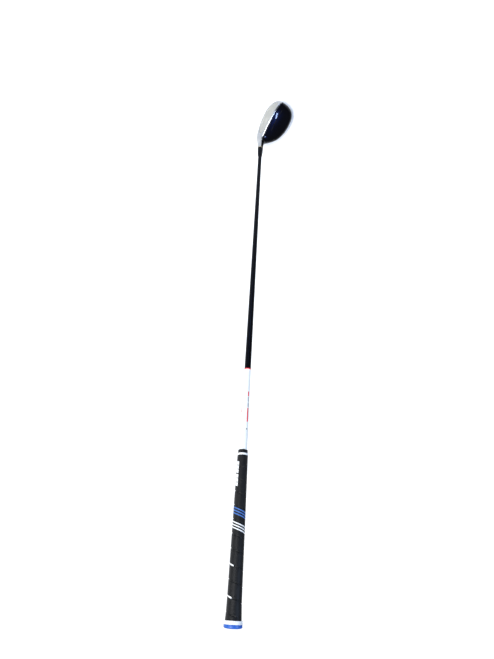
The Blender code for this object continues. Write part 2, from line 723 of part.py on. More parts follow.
def grip_sleeve(group, rubber, axis):
    """The rubber grip, with one spiral groove between its wraps."""
    side_width = WRAP_GROOVE * WRAP_SIDE
    groove = ((0.0, 0.0), (side_width, WRAP_DEPTH), (WRAP_GROOVE - side_width, WRAP_DEPTH))
    groove += ((WRAP_GROOVE, 0.0),)
    bm = bmesh.new()

    def vertex(from_butt, side, radius):
        turn = 2 * math.pi * side / ROUND
        height = CLUB_LENGTH - from_butt
        return bm.verts.new((radius * math.cos(turn), radius * math.sin(turn), height))

    def ring(from_butt, radius):
        return [vertex(from_butt, side, radius) for side in range(ROUND)]

    butt_end = CAP_H + GAP
    ring_seat = butt_end + BUTT_RING_H + GAP
    relief = GRIP_LENGTH - TAPE_SHORT + RELIEF_STEP
    butt_rings = [
        ring(butt_end, sleeve_bore(CLUB_LENGTH - butt_end)),
        ring(butt_end, CAP_R - BUTT_RING_DEPTH - GAP),
        ring(ring_seat, CAP_R - BUTT_RING_DEPTH - GAP),
        ring(ring_seat, grip_radius(ring_seat)),
    ]
    mouth_rings = [
        ring(MOUTH_SEAT, grip_radius(MOUTH_SEAT)),
        ring(MOUTH_SEAT, MOUTH_RING_R - MOUTH_RING_DEPTH - GAP),
        ring(MOUTH_STEP, MOUTH_RING_R - MOUTH_RING_DEPTH - GAP),
        ring(MOUTH_STEP, MOUTH_R),
        ring(GRIP_LENGTH, MOUTH_R),
        ring(GRIP_LENGTH, MOUTH_BORE_R),
        ring(relief + RELIEF_STEP, MOUTH_BORE_R),
        ring(relief, sleeve_bore(GRIP_MOUTH + TAPE_SHORT)),
    ]
    for rings in (butt_rings, mouth_rings + butt_rings[:1]):
        for low, high in zip(rings, rings[1:]):
            for side in range(ROUND):
                after = (side + 1) % ROUND
                bm.faces.new((low[side], high[side], high[after], low[after]))

    spiral = []
    for step in range(WRAP_STEPS + 1):
        start = WRAP_START + WRAP_PITCH * step / ROUND
        places = [(start + across, depth) for across, depth in groove]
        row = [vertex(place, step, grip_radius(place) - depth) for place, depth in places]
        spiral.append(row)

    def land_end(step):
        """Where the band beside the groove ends: at its next turn, or at the mouth's rim."""
        if step + ROUND <= WRAP_STEPS:
            return spiral[step + ROUND][0]
        return mouth_rings[0][step % ROUND]

    land_middles = []
    for step, row in enumerate(spiral):
        low = CLUB_LENGTH - row[-1].co.z
        middle = (low + CLUB_LENGTH - land_end(step).co.z) / 2
        land_middles.append(vertex(middle, step, grip_radius(middle)))

    for step in range(WRAP_STEPS):
        here = spiral[step] + [land_middles[step], land_end(step)]
        there = spiral[step + 1] + [land_middles[step + 1], land_end(step + 1)]
        if step + ROUND == WRAP_STEPS:  # past the groove's end the band runs on to the rim
            here += [spiral[WRAP_STEPS][-1], land_middles[WRAP_STEPS], land_end(WRAP_STEPS)]
        last = len(there) - 2
        for cell in range(last):
            bm.faces.new((here[cell], here[cell + 1], there[cell + 1], there[cell]))
        bm.faces.new(here[last:] + list(reversed(there[last:])))

    butt_rim = butt_rings[-1]
    for side in range(ROUND):
        after = (side + 1) % ROUND
        corners = [butt_rim[side], spiral[side][0], spiral[side + 1][0], butt_rim[after]]
        if after == 0:
            corners[3:3] = [land_middles[0], spiral[0][-1], spiral[0][0]]
        bm.faces.new(corners)
    bm.faces.new(list(reversed(spiral[0])))
    bm.faces.new(spiral[WRAP_STEPS])
    return mesh_object("grip_sleeve", bm, group, rubber, axis)


def mouth_ring(group, rubber, axis):
    high = GRIP_MOUTH + MOUTH_LIP + GAP + MOUTH_RING_H
    low = high - MOUTH_RING_H
    soft = MOUTH_RING_SOFT
    outer = [
        (MOUTH_RING_R - soft, high),
        (MOUTH_RING_R, high - soft),
        (MOUTH_RING_R, low + soft),
        (MOUTH_RING_R - soft, low),
    ]
    inner_r = MOUTH_RING_R - MOUTH_RING_DEPTH
    return turned("mouth_ring", outer, [(inner_r, low), (inner_r, high)], group, rubber, axis)


def butt_ring(group, rubber, axis):
    high = CLUB_LENGTH - CAP_H - GAP
    low = high - BUTT_RING_H
    edge = BUTT_RING_CHAMFER
    outer = [(CAP_R, high), (CAP_R, low + edge), (CAP_R - edge, low)]
    inner_r = CAP_R - BUTT_RING_DEPTH
    return turned("butt_ring", outer, [(inner_r, low), (inner_r, high)], group, rubber, axis)


def butt_cap(group, rubber, axis):
    base = CLUB_LENGTH - CAP_H
    wall_top = CLUB_LENGTH - CAP_DOME
    outer = []
    steps = 6
    for step in range(steps + 1):
        turn = math.pi / 2 * step / steps
        radius = mix(VENT_R, CAP_R, math.sin(turn) ** CAP_ROUND_POWER)
        outer.append((radius, wall_top + CAP_DOME * math.cos(turn)))
    outer.append((CAP_R, base))
    inner = [(VENT_R, base)]
    return turned("butt_cap", outer, inner, group, rubber, axis)


def main():
    empty_scene()
    pieces = new_collection("fairway_wood")
    cutters = new_collection("cutters")
    axis = axis_frame(pieces)
    port = port_frame(pieces)

    steel = finish("satin_steel", (0.56, 0.57, 0.57), 0.32, metallic=1.0)
    face_steel = finish("blasted_steel", (0.46, 0.46, 0.44), 0.55, metallic=1.0)
    navy = finish("navy_gloss", (0.004, 0.006, 0.02), 0.12, coat=1.0)
    tungsten = finish("tungsten", (0.25, 0.25, 0.26), 0.35, metallic=1.0)
    trim = finish("trim_metal", (0.42, 0.38, 0.30), 0.30, metallic=1.0)
    plastic = finish("ferrule_plastic", (0.004, 0.005, 0.008), 0.15, coat=0.6)
    paint = finish("shaft_paint", (0.006, 0.006, 0.008), 0.12, coat=1.0)
    brass = finish("brass", (0.70, 0.48, 0.18), 0.35, metallic=1.0)
    glue = finish("hot_melt", (0.55, 0.42, 0.20), 0.50)
    tape = finish("paper_tape", (0.65, 0.60, 0.50), 0.80)
    rubber = finish("grip_rubber", (0.020, 0.021, 0.023), 0.65)
    white = finish("white_rubber", (0.80, 0.80, 0.80), 0.50)
    blue = finish("blue_rubber", (0.03, 0.12, 0.45), 0.40)

    head_body(pieces, cutters, steel, axis, port)
    head_panel("face_plate", "face", FACE_WALL, pieces, face_steel)
    head_panel("crown_plate", "crown", CROWN_WALL, pieces, navy)
    rear_weight(pieces, tungsten, port)
    weight_screw(pieces, cutters, steel, port)
    hot_melt_pad(pieces, glue)
    hosel_ring(pieces, trim, axis)
    ferrule(pieces, plastic, axis)
    shaft(pieces, paint, axis)
    tip_pin(pieces, brass, axis)
    grip_tape(pieces, tape, axis)
    grip_sleeve(pieces, rubber, axis)
    mouth_ring(pieces, white, axis)
    butt_ring(pieces, white, axis)
    butt_cap(pieces, blue, axis)


main()
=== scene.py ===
"""Fairway wood: the looks of each piece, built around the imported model.

The club stands at address, +X from heel to toe, +Y towards the target, its sole on the floor at
z = 0. Pieces on the shaft are built upright and then laid on the shaft's axis. Metres throughout.
"""

import math

import bmesh
import bpy
from bpy.props import FloatProperty, FloatVectorProperty, IntProperty, PointerProperty
from mathutils import Euler, Matrix, Vector


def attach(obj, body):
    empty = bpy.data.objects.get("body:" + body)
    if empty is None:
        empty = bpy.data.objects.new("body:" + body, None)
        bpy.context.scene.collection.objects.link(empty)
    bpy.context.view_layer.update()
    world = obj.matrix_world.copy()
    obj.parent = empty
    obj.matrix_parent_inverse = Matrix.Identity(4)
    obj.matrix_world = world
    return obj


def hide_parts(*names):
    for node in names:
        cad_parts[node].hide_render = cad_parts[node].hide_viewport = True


bl_info = {
    "name": "Fairway Wood",
    "version": (1, 0, 0),
    "blender": (4, 5, 0),
    "location": "3D View > Sidebar > Fairway Wood",
    "description": "Builds the visible pieces of a fairway wood on its packed model",
    "category": "Add Mesh",
}

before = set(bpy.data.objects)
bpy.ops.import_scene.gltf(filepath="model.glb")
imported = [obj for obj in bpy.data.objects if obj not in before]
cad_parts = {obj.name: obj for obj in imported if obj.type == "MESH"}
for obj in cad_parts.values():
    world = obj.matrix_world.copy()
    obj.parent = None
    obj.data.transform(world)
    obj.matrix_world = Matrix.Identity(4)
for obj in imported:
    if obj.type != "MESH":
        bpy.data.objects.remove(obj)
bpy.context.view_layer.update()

# ---------------------------------------------------------------- sizes that the frame's pieces have

CLUB_LENGTH = 1.080  # from the ground to the butt end, along the shaft's axis
LIE = math.radians(58)
LOFT = math.radians(17.5)
AXIS_X = -0.035
AXIS_Y = 0.003

TOE_X = 0.0475
MID_X = 0.005
HEEL_REACH = 0.062
LEAD_Y = 0.0185
SPINE_Y = -0.005
BACK_Y = -0.0495
BULGE_R = 0.220
CROWN_Z = 0.0335
CROWN_SPAN_R = 0.360
CROWN_RISE = 0.0012
SKIRT_Z = 0.0135
SKIRT_TOE_RISE = 0.0025
SOLE_ROCKER_R = 0.200
SOLE_FLAT = 0.0008
LEAD_ROUND = 0.0035
TOP_ROUND = 0.0022
FRONT_POWER = 2.5
BACK_POWER = 2.6
TOP_POWER = 2.3
SOLE_POWER = 3.0
ROUNDS_POWER = 4.0
SOLE_SECTION_POWER = 2.4
CROWN_OUT_POWER = 2.1
CROWN_UP_POWER = 2.2
HEEL_LIMIT = 0.95

CROWN_EDGE = 0.0015
STEP_AT = 0.0125
STEP_RUN = 0.0020
STEP_DROP = 0.0010
PANEL_TOE_INSET = 0.0100
PANEL_CORNER = 0.0095  # how roundly the step turns back at the toe
PANEL_HEEL_INSET = 0.0014
PANEL_HEEL_FADE = 0.016
PANEL_BACK_START = 0.65
PANEL_BACK_FADE = 0.30
SHORT_CHORD = 0.030
CROWN_HEEL = 0.014
FACE_TOE_INSET = 0.006
FACE_TOE_CURVE = 0.018
FACE_TOE_CLOSE = 0.995
FACE_HEEL = 0.0026
FACE_HEEL_CURVE = 0.020
FACE_HEEL_CLOSE = 0.93
FACE_HALF = 0.44

FILLET_R = 0.018
NECKING_START = -0.002
NECKING_LENGTH = 0.039
NECK_LENGTH = 0.0199
BORE_R = 0.00475
NECK_TOP_R = 0.00675
NECK_BASE_R = 0.0070

PORT_X = 0.003
PORT_TURN = math.radians(46)
PORT_NUDGE = math.radians(3)
WEIGHT_R = 0.0060
WEIGHT_H = 0.0034
SCREW_HEAD_R = 0.0032
SCREW_HEAD_H = 0.0014
SCREW_R = 0.0018
SCREW_LENGTH = 0.0080
SOCKET_R = 0.0016

SHAFT_TIP_R = 0.00445
SHAFT_WHITE_END_R = 0.00615
SHAFT_MOUTH_R = 0.00745
SHAFT_BUTT_R = 0.00762
TIP_PARALLEL_END = 0.150
WHITE_LENGTH = 0.156
RING_H = 0.0014
FERRULE_H = 0.0250
FERRULE_TOP_R = 0.0052
FERRULE_POWER = 1.5

GRIP_LENGTH = 0.267
GRIP_BUTT_R = 0.01172
GRIP_TAPER_POWER = 1.15
CAP_R = 0.01417
CAP_FLARE = 0.0125
CAP_H = 0.0055
CAP_DOME = 0.0025
CAP_ROUND_POWER = 0.7
VENT_R = 0.0012
BUTT_RING_H = 0.0048
MOUTH_R = 0.0085
MOUTH_SWELL = 0.0006
MOUTH_RING_R = 0.00925
MOUTH_RING_H = 0.0032
MOUTH_LIP = 0.0060
WRAP_PITCH = 0.022
WRAP_GROOVE = 0.0026
WRAP_START = 0.0137

SCORE_LOW = 0.0095  # lowest score line's height
SCORE_WIDTH = 0.0009
SCORE_SNAP = 0.00002  # points this close to a score line's edge are taken onto it
SCORE_SPANS = ((-0.0150, 0.0010), (0.0135, 0.0290))
SOCKET_DEPTH = 0.0009
WEIGHT_CHAMFER = 0.0004
SCREW_CHAMFER = 0.0003
HEAD_WALL = 0.0008
FACE_WALL = 0.0012
TRIM_ROUND = 0.00015
FERRULE_ROUND = 0.0003
SHAFT_TIP_WALL = 0.0012
SHAFT_BUTT_WALL = 0.0011
SLEEVE_ROOM = 0.0002  # between the shaft's butt and the sleeve's bore
MOUTH_SINK = 0.0002  # how deep the mouth ring sits in the sleeve
MOUTH_CHAMFER = 0.0004
MOUTH_RING_ROUND = 0.0006
BUTT_RING_WALL = 0.0025
BUTT_RING_ROUND = 0.0003
INK_LIFT = 0.00004
INK_WALL = 0.0001
PAINT_LIFT = 0.00008
PAINT_WALL = 0.0003
DASH_LIFT = -0.0001  # the dashes fill the groove to just under the rubber's skin
DASH_WALL = 0.0005
STRIPE_PLACES = (0.0099, 0.0142, 0.0185)  # behind the groove's middle
STRIPE_WIDTHS = (0.0019, 0.0019)
STRIPE_CLOCKS = (-85, 145)
BLUE_TURN = 6
WHITE_TURN = 5
DASH_TURNS = (1, 3)
DASH_WIDTHS = (0.0028, 0.0014)
DASH_CLOCKS = (54, 135)
MARK_START = 0.2045  # from the butt
MARK_BARS = 6
MARK_PITCH = 0.0068
MARK_BLANK = 0.0012  # between the two halves of the mark
MARK_SLANT = 0.0016
MARK_CLOCKS = (66, 106)
MARK_ACROSS = (0.0, 0.0020, 0.0040, 0.0060)

SEAM = 0.00006  # shut line between neighbours
CAD_GAP = 0.0003
FINE = 0.0007  # spacing of the head's surface points
FACE_ROWS = 16  # from the face's middle line to its edge
# Up the neck these rows also carry the painted shade on its back.
SKIRT_ROWS = 16  # painted rows of the body, below the crown's edge
TURNED_SIDES = 96
SHARP_ANGLE = 35
LEVEL_SLACK = 0.000001  # for finding points at a known radius or height
GROOVE_SLACK = 0.000000001  # keeps the groove's last cut inside its wall
FLOOR_REACH = 4.0
SKY = 0.18
CAMERA_PLACE = (0.0402, 0.4367, 1.2752)
CAMERA_TURN = (-33.69, -13.457, -60.917)
CAMERA_LENS = 18.03
SENSOR_HEIGHT = 24.0
LACQUER_SHINE = 0.07
LACQUER_TINT = (0.55, 0.68, 1.0, 1.0)
FERRULE_SHINE = 0.08
FERRULE_TINT = (0.6, 0.72, 1.0, 1.0)

# Plain bars on the shaft's white length: both ends from the butt, and the clock angles of the sides
PRINTED_BARS = {
    "red": (
        (0.3670, 0.3760, (88, 112)),
        (0.3350, 0.3450, (88, 112)),
        (0.3655, 0.3745, (-20, 1)),
        (0.3170, 0.3430, (-20, 1)),
    ),
    "grey": (
        (0.3465, 0.3560, (90, 112)),
        (0.3575, 0.3655, (90, 112)),
        (0.3445, 0.3530, (-19, 0)),
        (0.3545, 0.3640, (-19, 0)),
        (0.2930, 0.3000, (108, 120)),
    ),
    "dark": ((0.3025, 0.3050, (-14, 2)), (0.3240, 0.3252, (108, 117)), (0.3300, 0.3312, (108, 117))),
}

AXIS_DIR = Vector((-math.cos(LIE), 0.0, math.sin(LIE)))
BEND_R = FILLET_R + NECK_BASE_R
BEND_Z = CROWN_Z - (AXIS_X - MID_X) ** 2 / (2 * CROWN_SPAN_R) + FILLET_R
BEND_X = AXIS_X + (BEND_R - BEND_Z * math.cos(LIE)) / math.sin(LIE)
BEND_LENGTH = BEND_R * LIE
BEND_END = BEND_X * AXIS_DIR.x + BEND_Z * AXIS_DIR.z - AXIS_X * AXIS_DIR.x
HOSEL_TOP = BEND_END + NECK_LENGTH
PANEL_TOE_X = TOE_X - PANEL_TOE_INSET
PANEL_HEEL_X = BEND_X + PANEL_HEEL_INSET
FACE_TOE_X = TOE_X - FACE_TOE_INSET
FACE_HEEL_X = BEND_X - FACE_HEEL
GRIP_MOUTH = CLUB_LENGTH - GRIP_LENGTH
WHITE_END = GRIP_MOUTH - WHITE_LENGTH
PAINT_END = WHITE_END + 0.0036  # the white ends a little above the place where the taper changes
MOUTH_STEP = GRIP_LENGTH - MOUTH_LIP
MOUTH_SEAT = MOUTH_STEP - MOUTH_RING_H - 2 * CAD_GAP
AXIS_TURN = Matrix.Rotation(LIE - math.pi / 2, 4, "Y")
AXIS_FRAME = Matrix.Translation((AXIS_X, AXIS_Y, 0.0)) @ AXIS_TURN


# ---------------------------------------------------------------- settings


def linear(code):
    """Turns an sRGB hex colour into linear red, green and blue."""
    parts = [int(code[place : place + 2], 16) / 255 for place in (1, 3, 5)]
    return tuple(part / 12.92 if part <= 0.04045 else ((part + 0.055) / 1.055) ** 2.4 for part in parts)


def colour(name, code, description):
    return FloatVectorProperty(
        name=name, description=description, subtype="COLOR", min=0.0, max=1.0, default=linear(code)
    )


def length(name, size, low, high, description):
    return FloatProperty(name=name, description=description, default=size, min=low, max=high, unit="LENGTH")


def power(name, watts, description):
    return FloatProperty(name=name, description=description, default=watts, min=0.0, unit="POWER")


class HeadSettings(bpy.types.PropertyGroup):
    steel: colour("Steel", "#A4A7AA", "Polished body, neck and rim")
    face: colour("Face", "#A3A4A0", "Blasted face insert")
    # On the back of the neck this colour is painted shade, darkening the side turned away from the lights.
    crown: colour("Crown", "#020306", "Lacquer on the crown, the skirt and the back of the neck")
    flake: colour("Flake", "#0A122E", "Metal flakes in the crown's lacquer")
    trim: colour("Trim ring", "#A89A7C", "Ring between neck and ferrule")
    ferrule: colour("Ferrule", "#050608", "Plastic cone over the trim ring")
    line_pitch: length("Score line pitch", 0.0032, 0.002, 0.006, "Height from one score line to the next")
    line_depth: length("Score line depth", 0.00025, 0.0001, 0.0005, "Depth of the score lines")
    line_count: IntProperty(
        name="Score lines", description="Score lines one above another", default=5, min=1, max=8
    )


class ShaftSettings(bpy.types.PropertyGroup):
    black: colour("Black lacquer", "#050507", "Lower shaft")
    white: colour("White lacquer", "#E2E7E5", "Upper shaft")
    red: colour("Red", "#E0212E", "Band where the white ends, and printed bars")
    grey: colour("Grey ink", "#9A9EA3", "Printed bars")
    dark: colour("Dark ink", "#16302B", "Printed dots")
    band: length("Band width", 0.0018, 0.0005, 0.005, "Width of the red band")


class GripSettings(bpy.types.PropertyGroup):
    rubber: colour("Rubber", "#0E1013", "Charcoal rubber of the sleeve")
    white: colour("White", "#DCDFE0", "White paint and white rubber rings")
    stripe: colour("Blue stripes", "#3766B0", "Blue paint of the stripes")
    cap: colour("Cap", "#2257AE", "Blue rubber cap")
    groove_depth: length("Groove depth", 0.0011, 0.0002, 0.0015, "Depth of the spiral groove")


class StageSettings(bpy.types.PropertyGroup):
    floor: colour("Floor", "#F8F8F8", "Pale paper that the club stands on")
    key_power: FloatProperty(
        name="Key light", description="Broad soft light over the whole floor", default=3.8, min=0.0
    )
    band_power: power("Side light", 16.0, "Soft light along the top line and the grip")
    low_power: power("Low light", 6.0, "Lamp that glints on the shaft")
    spark_power: power("Small light", 18.0, "Lamp that glints on the crown")


# ---------------------------------------------------------------- small helpers


def smooth(share):
    share = min(1.0, max(0.0, share))
    return share * share * (3 - 2 * share)


def mix(start, end, share):
    return start + (end - start) * share


def spread(start, end, spans):
    """The places after start that divide the way to end into equal spans, end included."""
    return [mix(start, end, (index + 1) / spans) for index in range(spans)]


def steps_between(start, end, size):
    """The places after start, about size apart, up to end."""
    return spread(start, end, max(1, math.ceil(abs(end - start) / size)))


def place(name, bm, materials, slot, nodes=(), frame_matrix=Matrix()):
    """Makes a piece from a mesh, rides it on the club and lets it stand for its CAD nodes."""
    mesh = bpy.data.meshes.new(name)
    bm.transform(frame_matrix)
    bm.to_mesh(mesh)
    bm.free()
    mesh.shade_smooth()
    mesh.set_sharp_from_angle(angle=math.radians(SHARP_ANGLE))
    for material in materials:
        mesh.materials.append(material)
    item = bpy.data.objects.new(name, mesh)
    bpy.context.scene.collection.objects.link(item)
    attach(item, "root")
    if nodes:
        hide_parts(*nodes)
    return item


def thicken(item, wall):
    """Gives a skin its wall, on its inner side."""
    shell = item.modifiers.new("wall", "SOLIDIFY")
    shell.thickness = wall
    shell.offset = -1.0
    shell.use_even_offset = False


def rounded(points, radius, steps=4):
    """Rounds each inner corner of an outline of (radius, height) pairs."""
    points = [Vector(point) for point in points]
    out = [points[0]]
    for before, corner, after in zip(points, points[1:], points[2:]):
        start = corner + (before - corner).normalized() * min(radius, (before - corner).length / 2)
        end = corner + (after - corner).normalized() * min(radius, (after - corner).length / 2)
        for step in range(steps + 1):
            share = step / steps
            out.append(start.lerp(corner, share).lerp(corner.lerp(end, share), share))
    out.append(points[-1])
    return [tuple(point) for point in out]


def collar(inner_r, outer_r, low, high):
    return [(inner_r, high), (outer_r, high), (outer_r, low), (inner_r, low)]


def turned(outline, sides=TURNED_SIDES):
    """Turns an outline of (radius, height) pairs about Z, from the top outwards and down.

    It closes on itself as a ring, unless it starts and ends on the axis.
    """
    bm = bmesh.new()
    angles = [2 * math.pi * side / sides for side in range(sides)]
    rings = []
    for radius, height in outline:
        turns = angles if radius > 0 else angles[:1]
        points = [(radius * math.cos(turn), radius * math.sin(turn), height) for turn in turns]
        rings.append([bm.verts.new(point) for point in points])
    closing = rings[:1] if outline[0][0] > 0 else []
    for high, low in zip(rings, rings[1:] + closing):
        for side in range(sides):
            after = (side + 1) % sides
            corners = [high[side % len(high)], low[side % len(low)]]
            corners += [low[after % len(low)], high[after % len(high)]]
            bm.faces.new(list(dict.fromkeys(corners)))
    return bm


# ---------------------------------------------------------------- materials


# Sockets of the mix node for two colours and their blend, which share their names with other sockets
MIX_LOW = 6
MIX_HIGH = 7
MIX_RESULT = 2


def add_node(tree, kind, settings=None, inputs=None):
    """Adds a node, sets its properties, and sets or links its sockets."""
    node = tree.nodes.new(kind)
    for key, value in (settings or {}).items():
        setattr(node, key, value)
    for key, value in (inputs or {}).items():
        if isinstance(value, bpy.types.NodeSocket):
            tree.links.new(value, node.inputs[key])
        else:
            node.inputs[key].default_value = value
    return node


def scaled(base, factor):
    return tuple(min(1.0, part * factor) for part in base)


def surface(name, colours, rough, spots, skin, **extra):
    """A Principled material broken up by two patterns, both sized in metres.

    Colour and roughness move between two ends with a noise that has spots of the given size. The
    skin is (size, height) of a finer pattern that stands up in the surface. Extra may hold bump,
    the skin's strength; cells, for a skin of cells; fleck, for a colour that follows the skin;
    drawn and turn, for patterns drawn out along axes turned about Y; and the shader's constants.
    """
    options = {"cells": False, "fleck": False, "drawn": (1.0, 1.0, 1.0), "turn": 0.0, "bump": 0.4}
    options.update((key, extra.pop(key)) for key in list(extra) if key in options)
    material = bpy.data.materials.new(name)
    material.use_nodes = True
    material.diffuse_color = (*colours[1], 1.0)
    tree = material.node_tree
    tree.nodes.clear()
    where = add_node(tree, "ShaderNodeTexCoord")
    inputs = {"Vector": where.outputs["Object"], "Scale": options["drawn"]}
    inputs["Rotation"] = (0.0, options["turn"], 0.0)
    mapping = add_node(tree, "ShaderNodeMapping", {"vector_type": "TEXTURE"}, inputs)
    inputs = {"Vector": mapping.outputs["Vector"], "Scale": 1.0 / spots, "Detail": 3.0}
    coarse = add_node(tree, "ShaderNodeTexNoise", inputs=inputs).outputs["Fac"]
    kind, result = ("Voronoi", "Distance") if options["cells"] else ("Noise", "Fac")
    inputs = {"Vector": mapping.outputs["Vector"], "Scale": 1.0 / skin[0]}
    fine = add_node(tree, "ShaderNodeTex" + kind, inputs=inputs).outputs[result]

    low, high = ((*end, 1.0) for end in colours)
    inputs = {"Factor": fine if options["fleck"] else coarse, MIX_LOW: low, MIX_HIGH: high}
    blend = add_node(tree, "ShaderNodeMix", {"data_type": "RGBA"}, inputs)
    inputs = {"Value": coarse, "From Min": 0.3, "From Max": 0.7, "To Min": rough[0], "To Max": rough[1]}
    worn = add_node(tree, "ShaderNodeMapRange", inputs=inputs)
    inputs = {"Height": fine, "Distance": skin[1], "Strength": options["bump"]}
    relief = add_node(tree, "ShaderNodeBump", inputs=inputs)
    inputs = {"Base Color": blend.outputs[MIX_RESULT], "Roughness": worn.outputs["Result"]}
    inputs["Normal"] = relief.outputs["Normal"]
    inputs.update((key.replace("_", " "), value) for key, value in extra.items())
    shader = add_node(tree, "ShaderNodeBsdfPrincipled", inputs=inputs)
    add_node(tree, "ShaderNodeOutputMaterial", inputs={"Surface": shader.outputs["BSDF"]})
    return material


def polished_steel(settings):
    """Cast stainless steel, belt-finished then buffed: bright, with a fine lengthwise grain."""
    shades = (scaled(settings.steel, 0.9), settings.steel)
    grain = {"drawn": (8.0, 1.0, 1.0), "bump": 0.25, "Metallic": 1.0}
    return surface("polished_cast_steel", shades, (0.18, 0.30), 0.003, (0.0009, 0.00002), **grain)


def blasted_steel(settings):
    """Forged steel, glass-bead blasted: an even, matte, slightly warm grey with a fine grit."""
    shades = (scaled(settings.face, 0.94), settings.face)
    return surface("bead_blasted_steel", shades, (0.46, 0.60), 0.005, (0.0005, 0.00005), Metallic=0.5)


def crown_lacquer(settings):
    """Metal flake under clear lacquer: black until it faces a light, then a deep blue."""
    shades = (settings.crown, settings.flake)
    flake = {"cells": True, "fleck": True, "bump": 0.15, "Specular_Tint": (*settings.flake, 1.0)}
    clear = {"Coat_Weight": 0.45, "Coat_Roughness": 0.07}
    skin = (0.0005, 0.00001)
    return surface("flake_lacquer_navy", shades, (0.26, 0.32), 0.01, skin, Metallic=1.0, **flake, **clear)


def tube_lacquer(name, base, **shine):
    """Sprayed and lacquered tube: an even gloss with the faintest orange peel."""
    shades = (scaled(base, 0.94), base)
    return surface(name, shades, (0.17, 0.25), 0.012, (0.0016, 0.00001), bump=0.3, **shine)


def print_ink(name, base):
    """Pad-printed ink: thin, even and a little duller than the lacquer under it."""
    return surface(name, (scaled(base, 0.92), base), (0.34, 0.46), 0.002, (0.0006, 0.00001))


def grip_rubber(settings):
    """Moulded rubber compound: charcoal, dull, with a pebbled skin that breaks up the light."""
    shades = (scaled(settings.rubber, 0.8), scaled(settings.rubber, 1.15))
    pebbles = {"cells": True, "bump": 0.5, "IOR": 1.52, "Specular_IOR_Level": 0.25}
    return surface("moulded_rubber_charcoal", shades, (0.40, 0.52), 0.006, (0.0009, 0.00006), **pebbles)


def soft_rubber(name, base, roughness):
    """Coloured thermoplastic rubber, injection moulded: even colour and a soft satin shine."""
    rough = (roughness - 0.05, roughness + 0.06)
    return surface(name, (scaled(base, 0.94), base), rough, 0.005, (0.0007, 0.00003), IOR=1.5)


def trim_metal(settings):
    """Anodised aluminium ring, turned: a dull gold with fine rings from the lathe."""
    shades = (scaled(settings.trim, 0.8), settings.trim)
    rings = {"drawn": (20.0, 20.0, 1.0), "turn": LIE - math.pi / 2, "Metallic": 1.0}
    return surface("turned_anodised_aluminium", shades, (0.24, 0.38), 0.0006, (0.0003, 0.00001), **rings)


def ferrule_plastic(settings):
    """Cellulose ferrule, turned and wiped with solvent: black and wet-looking."""
    shades = (settings.ferrule, scaled(settings.ferrule, 1.4))
    shine = {"bump": 0.2, "Specular_IOR_Level": FERRULE_SHINE, "Specular_Tint": FERRULE_TINT}
    return surface("polished_cellulose", shades, (0.12, 0.20), 0.005, (0.0012, 0.00001), **shine)


def plain_metal(name, code, roughness, grit):
    """Small metal part as it comes from the press or the lathe: grey with a slight grain."""
    shades = (scaled(linear(code), 0.82), linear(code))
    rough = (roughness - 0.06, roughness + 0.08)
    return surface(name, shades, rough, 2 * grit, (grit, 0.00002), Metallic=1.0)


def plain_soft(name, code, roughness, grit):
    """Paper tape or set glue: dull and slightly mottled."""
    shades = (scaled(linear(code), 0.85), linear(code))
    return surface(name, shades, (roughness - 0.08, roughness), 2 * grit, (grit, 0.00005))


# ---------------------------------------------------------------- the head's surface


def toe_round(x, power):
    reach = min(1.0, max(0.0, (x - MID_X) / (TOE_X - MID_X)))
    return (1 - reach**power) ** (1 / power)


def heel_round(x):
    reach = min(HEEL_LIMIT, max(0.0, (MID_X - x) / HEEL_REACH))
    return math.sqrt(1 - reach**2)


def outline(x):
    """The head's section at x: front, back, top, sole and skirt places."""
    toe_share = max(0.0, (x - MID_X) / (TOE_X - MID_X))
    bulge_y = LEAD_Y - (x - MID_X) ** 2 / (2 * BULGE_R)
    skirt = SKIRT_Z + SKIRT_TOE_RISE * toe_share**2
    crown = CROWN_Z - min(0.0, x - MID_X) ** 2 / (2 * CROWN_SPAN_R)
    sole = x**2 / (2 * SOLE_ROCKER_R) - SOLE_FLAT
    return {
        "front": SPINE_Y + (bulge_y - SPINE_Y) * toe_round(x, FRONT_POWER),
        "back": SPINE_Y + (BACK_Y - SPINE_Y) * toe_round(x, BACK_POWER) * heel_round(x),
        "skirt": skirt,
        "top": skirt + (crown - skirt) * toe_round(x, TOP_POWER),
        "sole": skirt - (skirt - sole) * toe_round(x, SOLE_POWER),
        "size": toe_round(x, ROUNDS_POWER),
    }


def face_share(x, side):
    """Where the face insert's edge crosses the front wall, as a share of its height."""
    toe = max(0.0, (x - FACE_TOE_X + FACE_TOE_CURVE) / FACE_TOE_CURVE)
    heel = max(0.0, (FACE_HEEL_X + FACE_HEEL_CURVE - x) / FACE_HEEL_CURVE)
    half = FACE_HALF * math.sqrt(1 - FACE_TOE_CLOSE * min(1.0, toe) ** 2)
    half *= math.sqrt(1 - FACE_HEEL_CLOSE * min(1.0, heel) ** 2)
    return 0.5 + side * half


def step_drop(x, behind, chord):
    """How far the crown panel lies below the front band, whose edge turns back at the toe."""
    inner = (behind - STEP_AT) / PANEL_CORNER
    side = (PANEL_TOE_X - x) / PANEL_CORNER
    if inner < 1 and side < 1:
        reach = 1 - math.hypot(1 - inner, 1 - side)
    else:
        reach = min(inner, side)
    drop = STEP_DROP * smooth(reach * PANEL_CORNER / STEP_RUN)
    drop *= smooth((x - PANEL_HEEL_X) / PANEL_HEEL_FADE)
    return drop * (1 - smooth((behind / chord - PANEL_BACK_START) / PANEL_BACK_FADE))


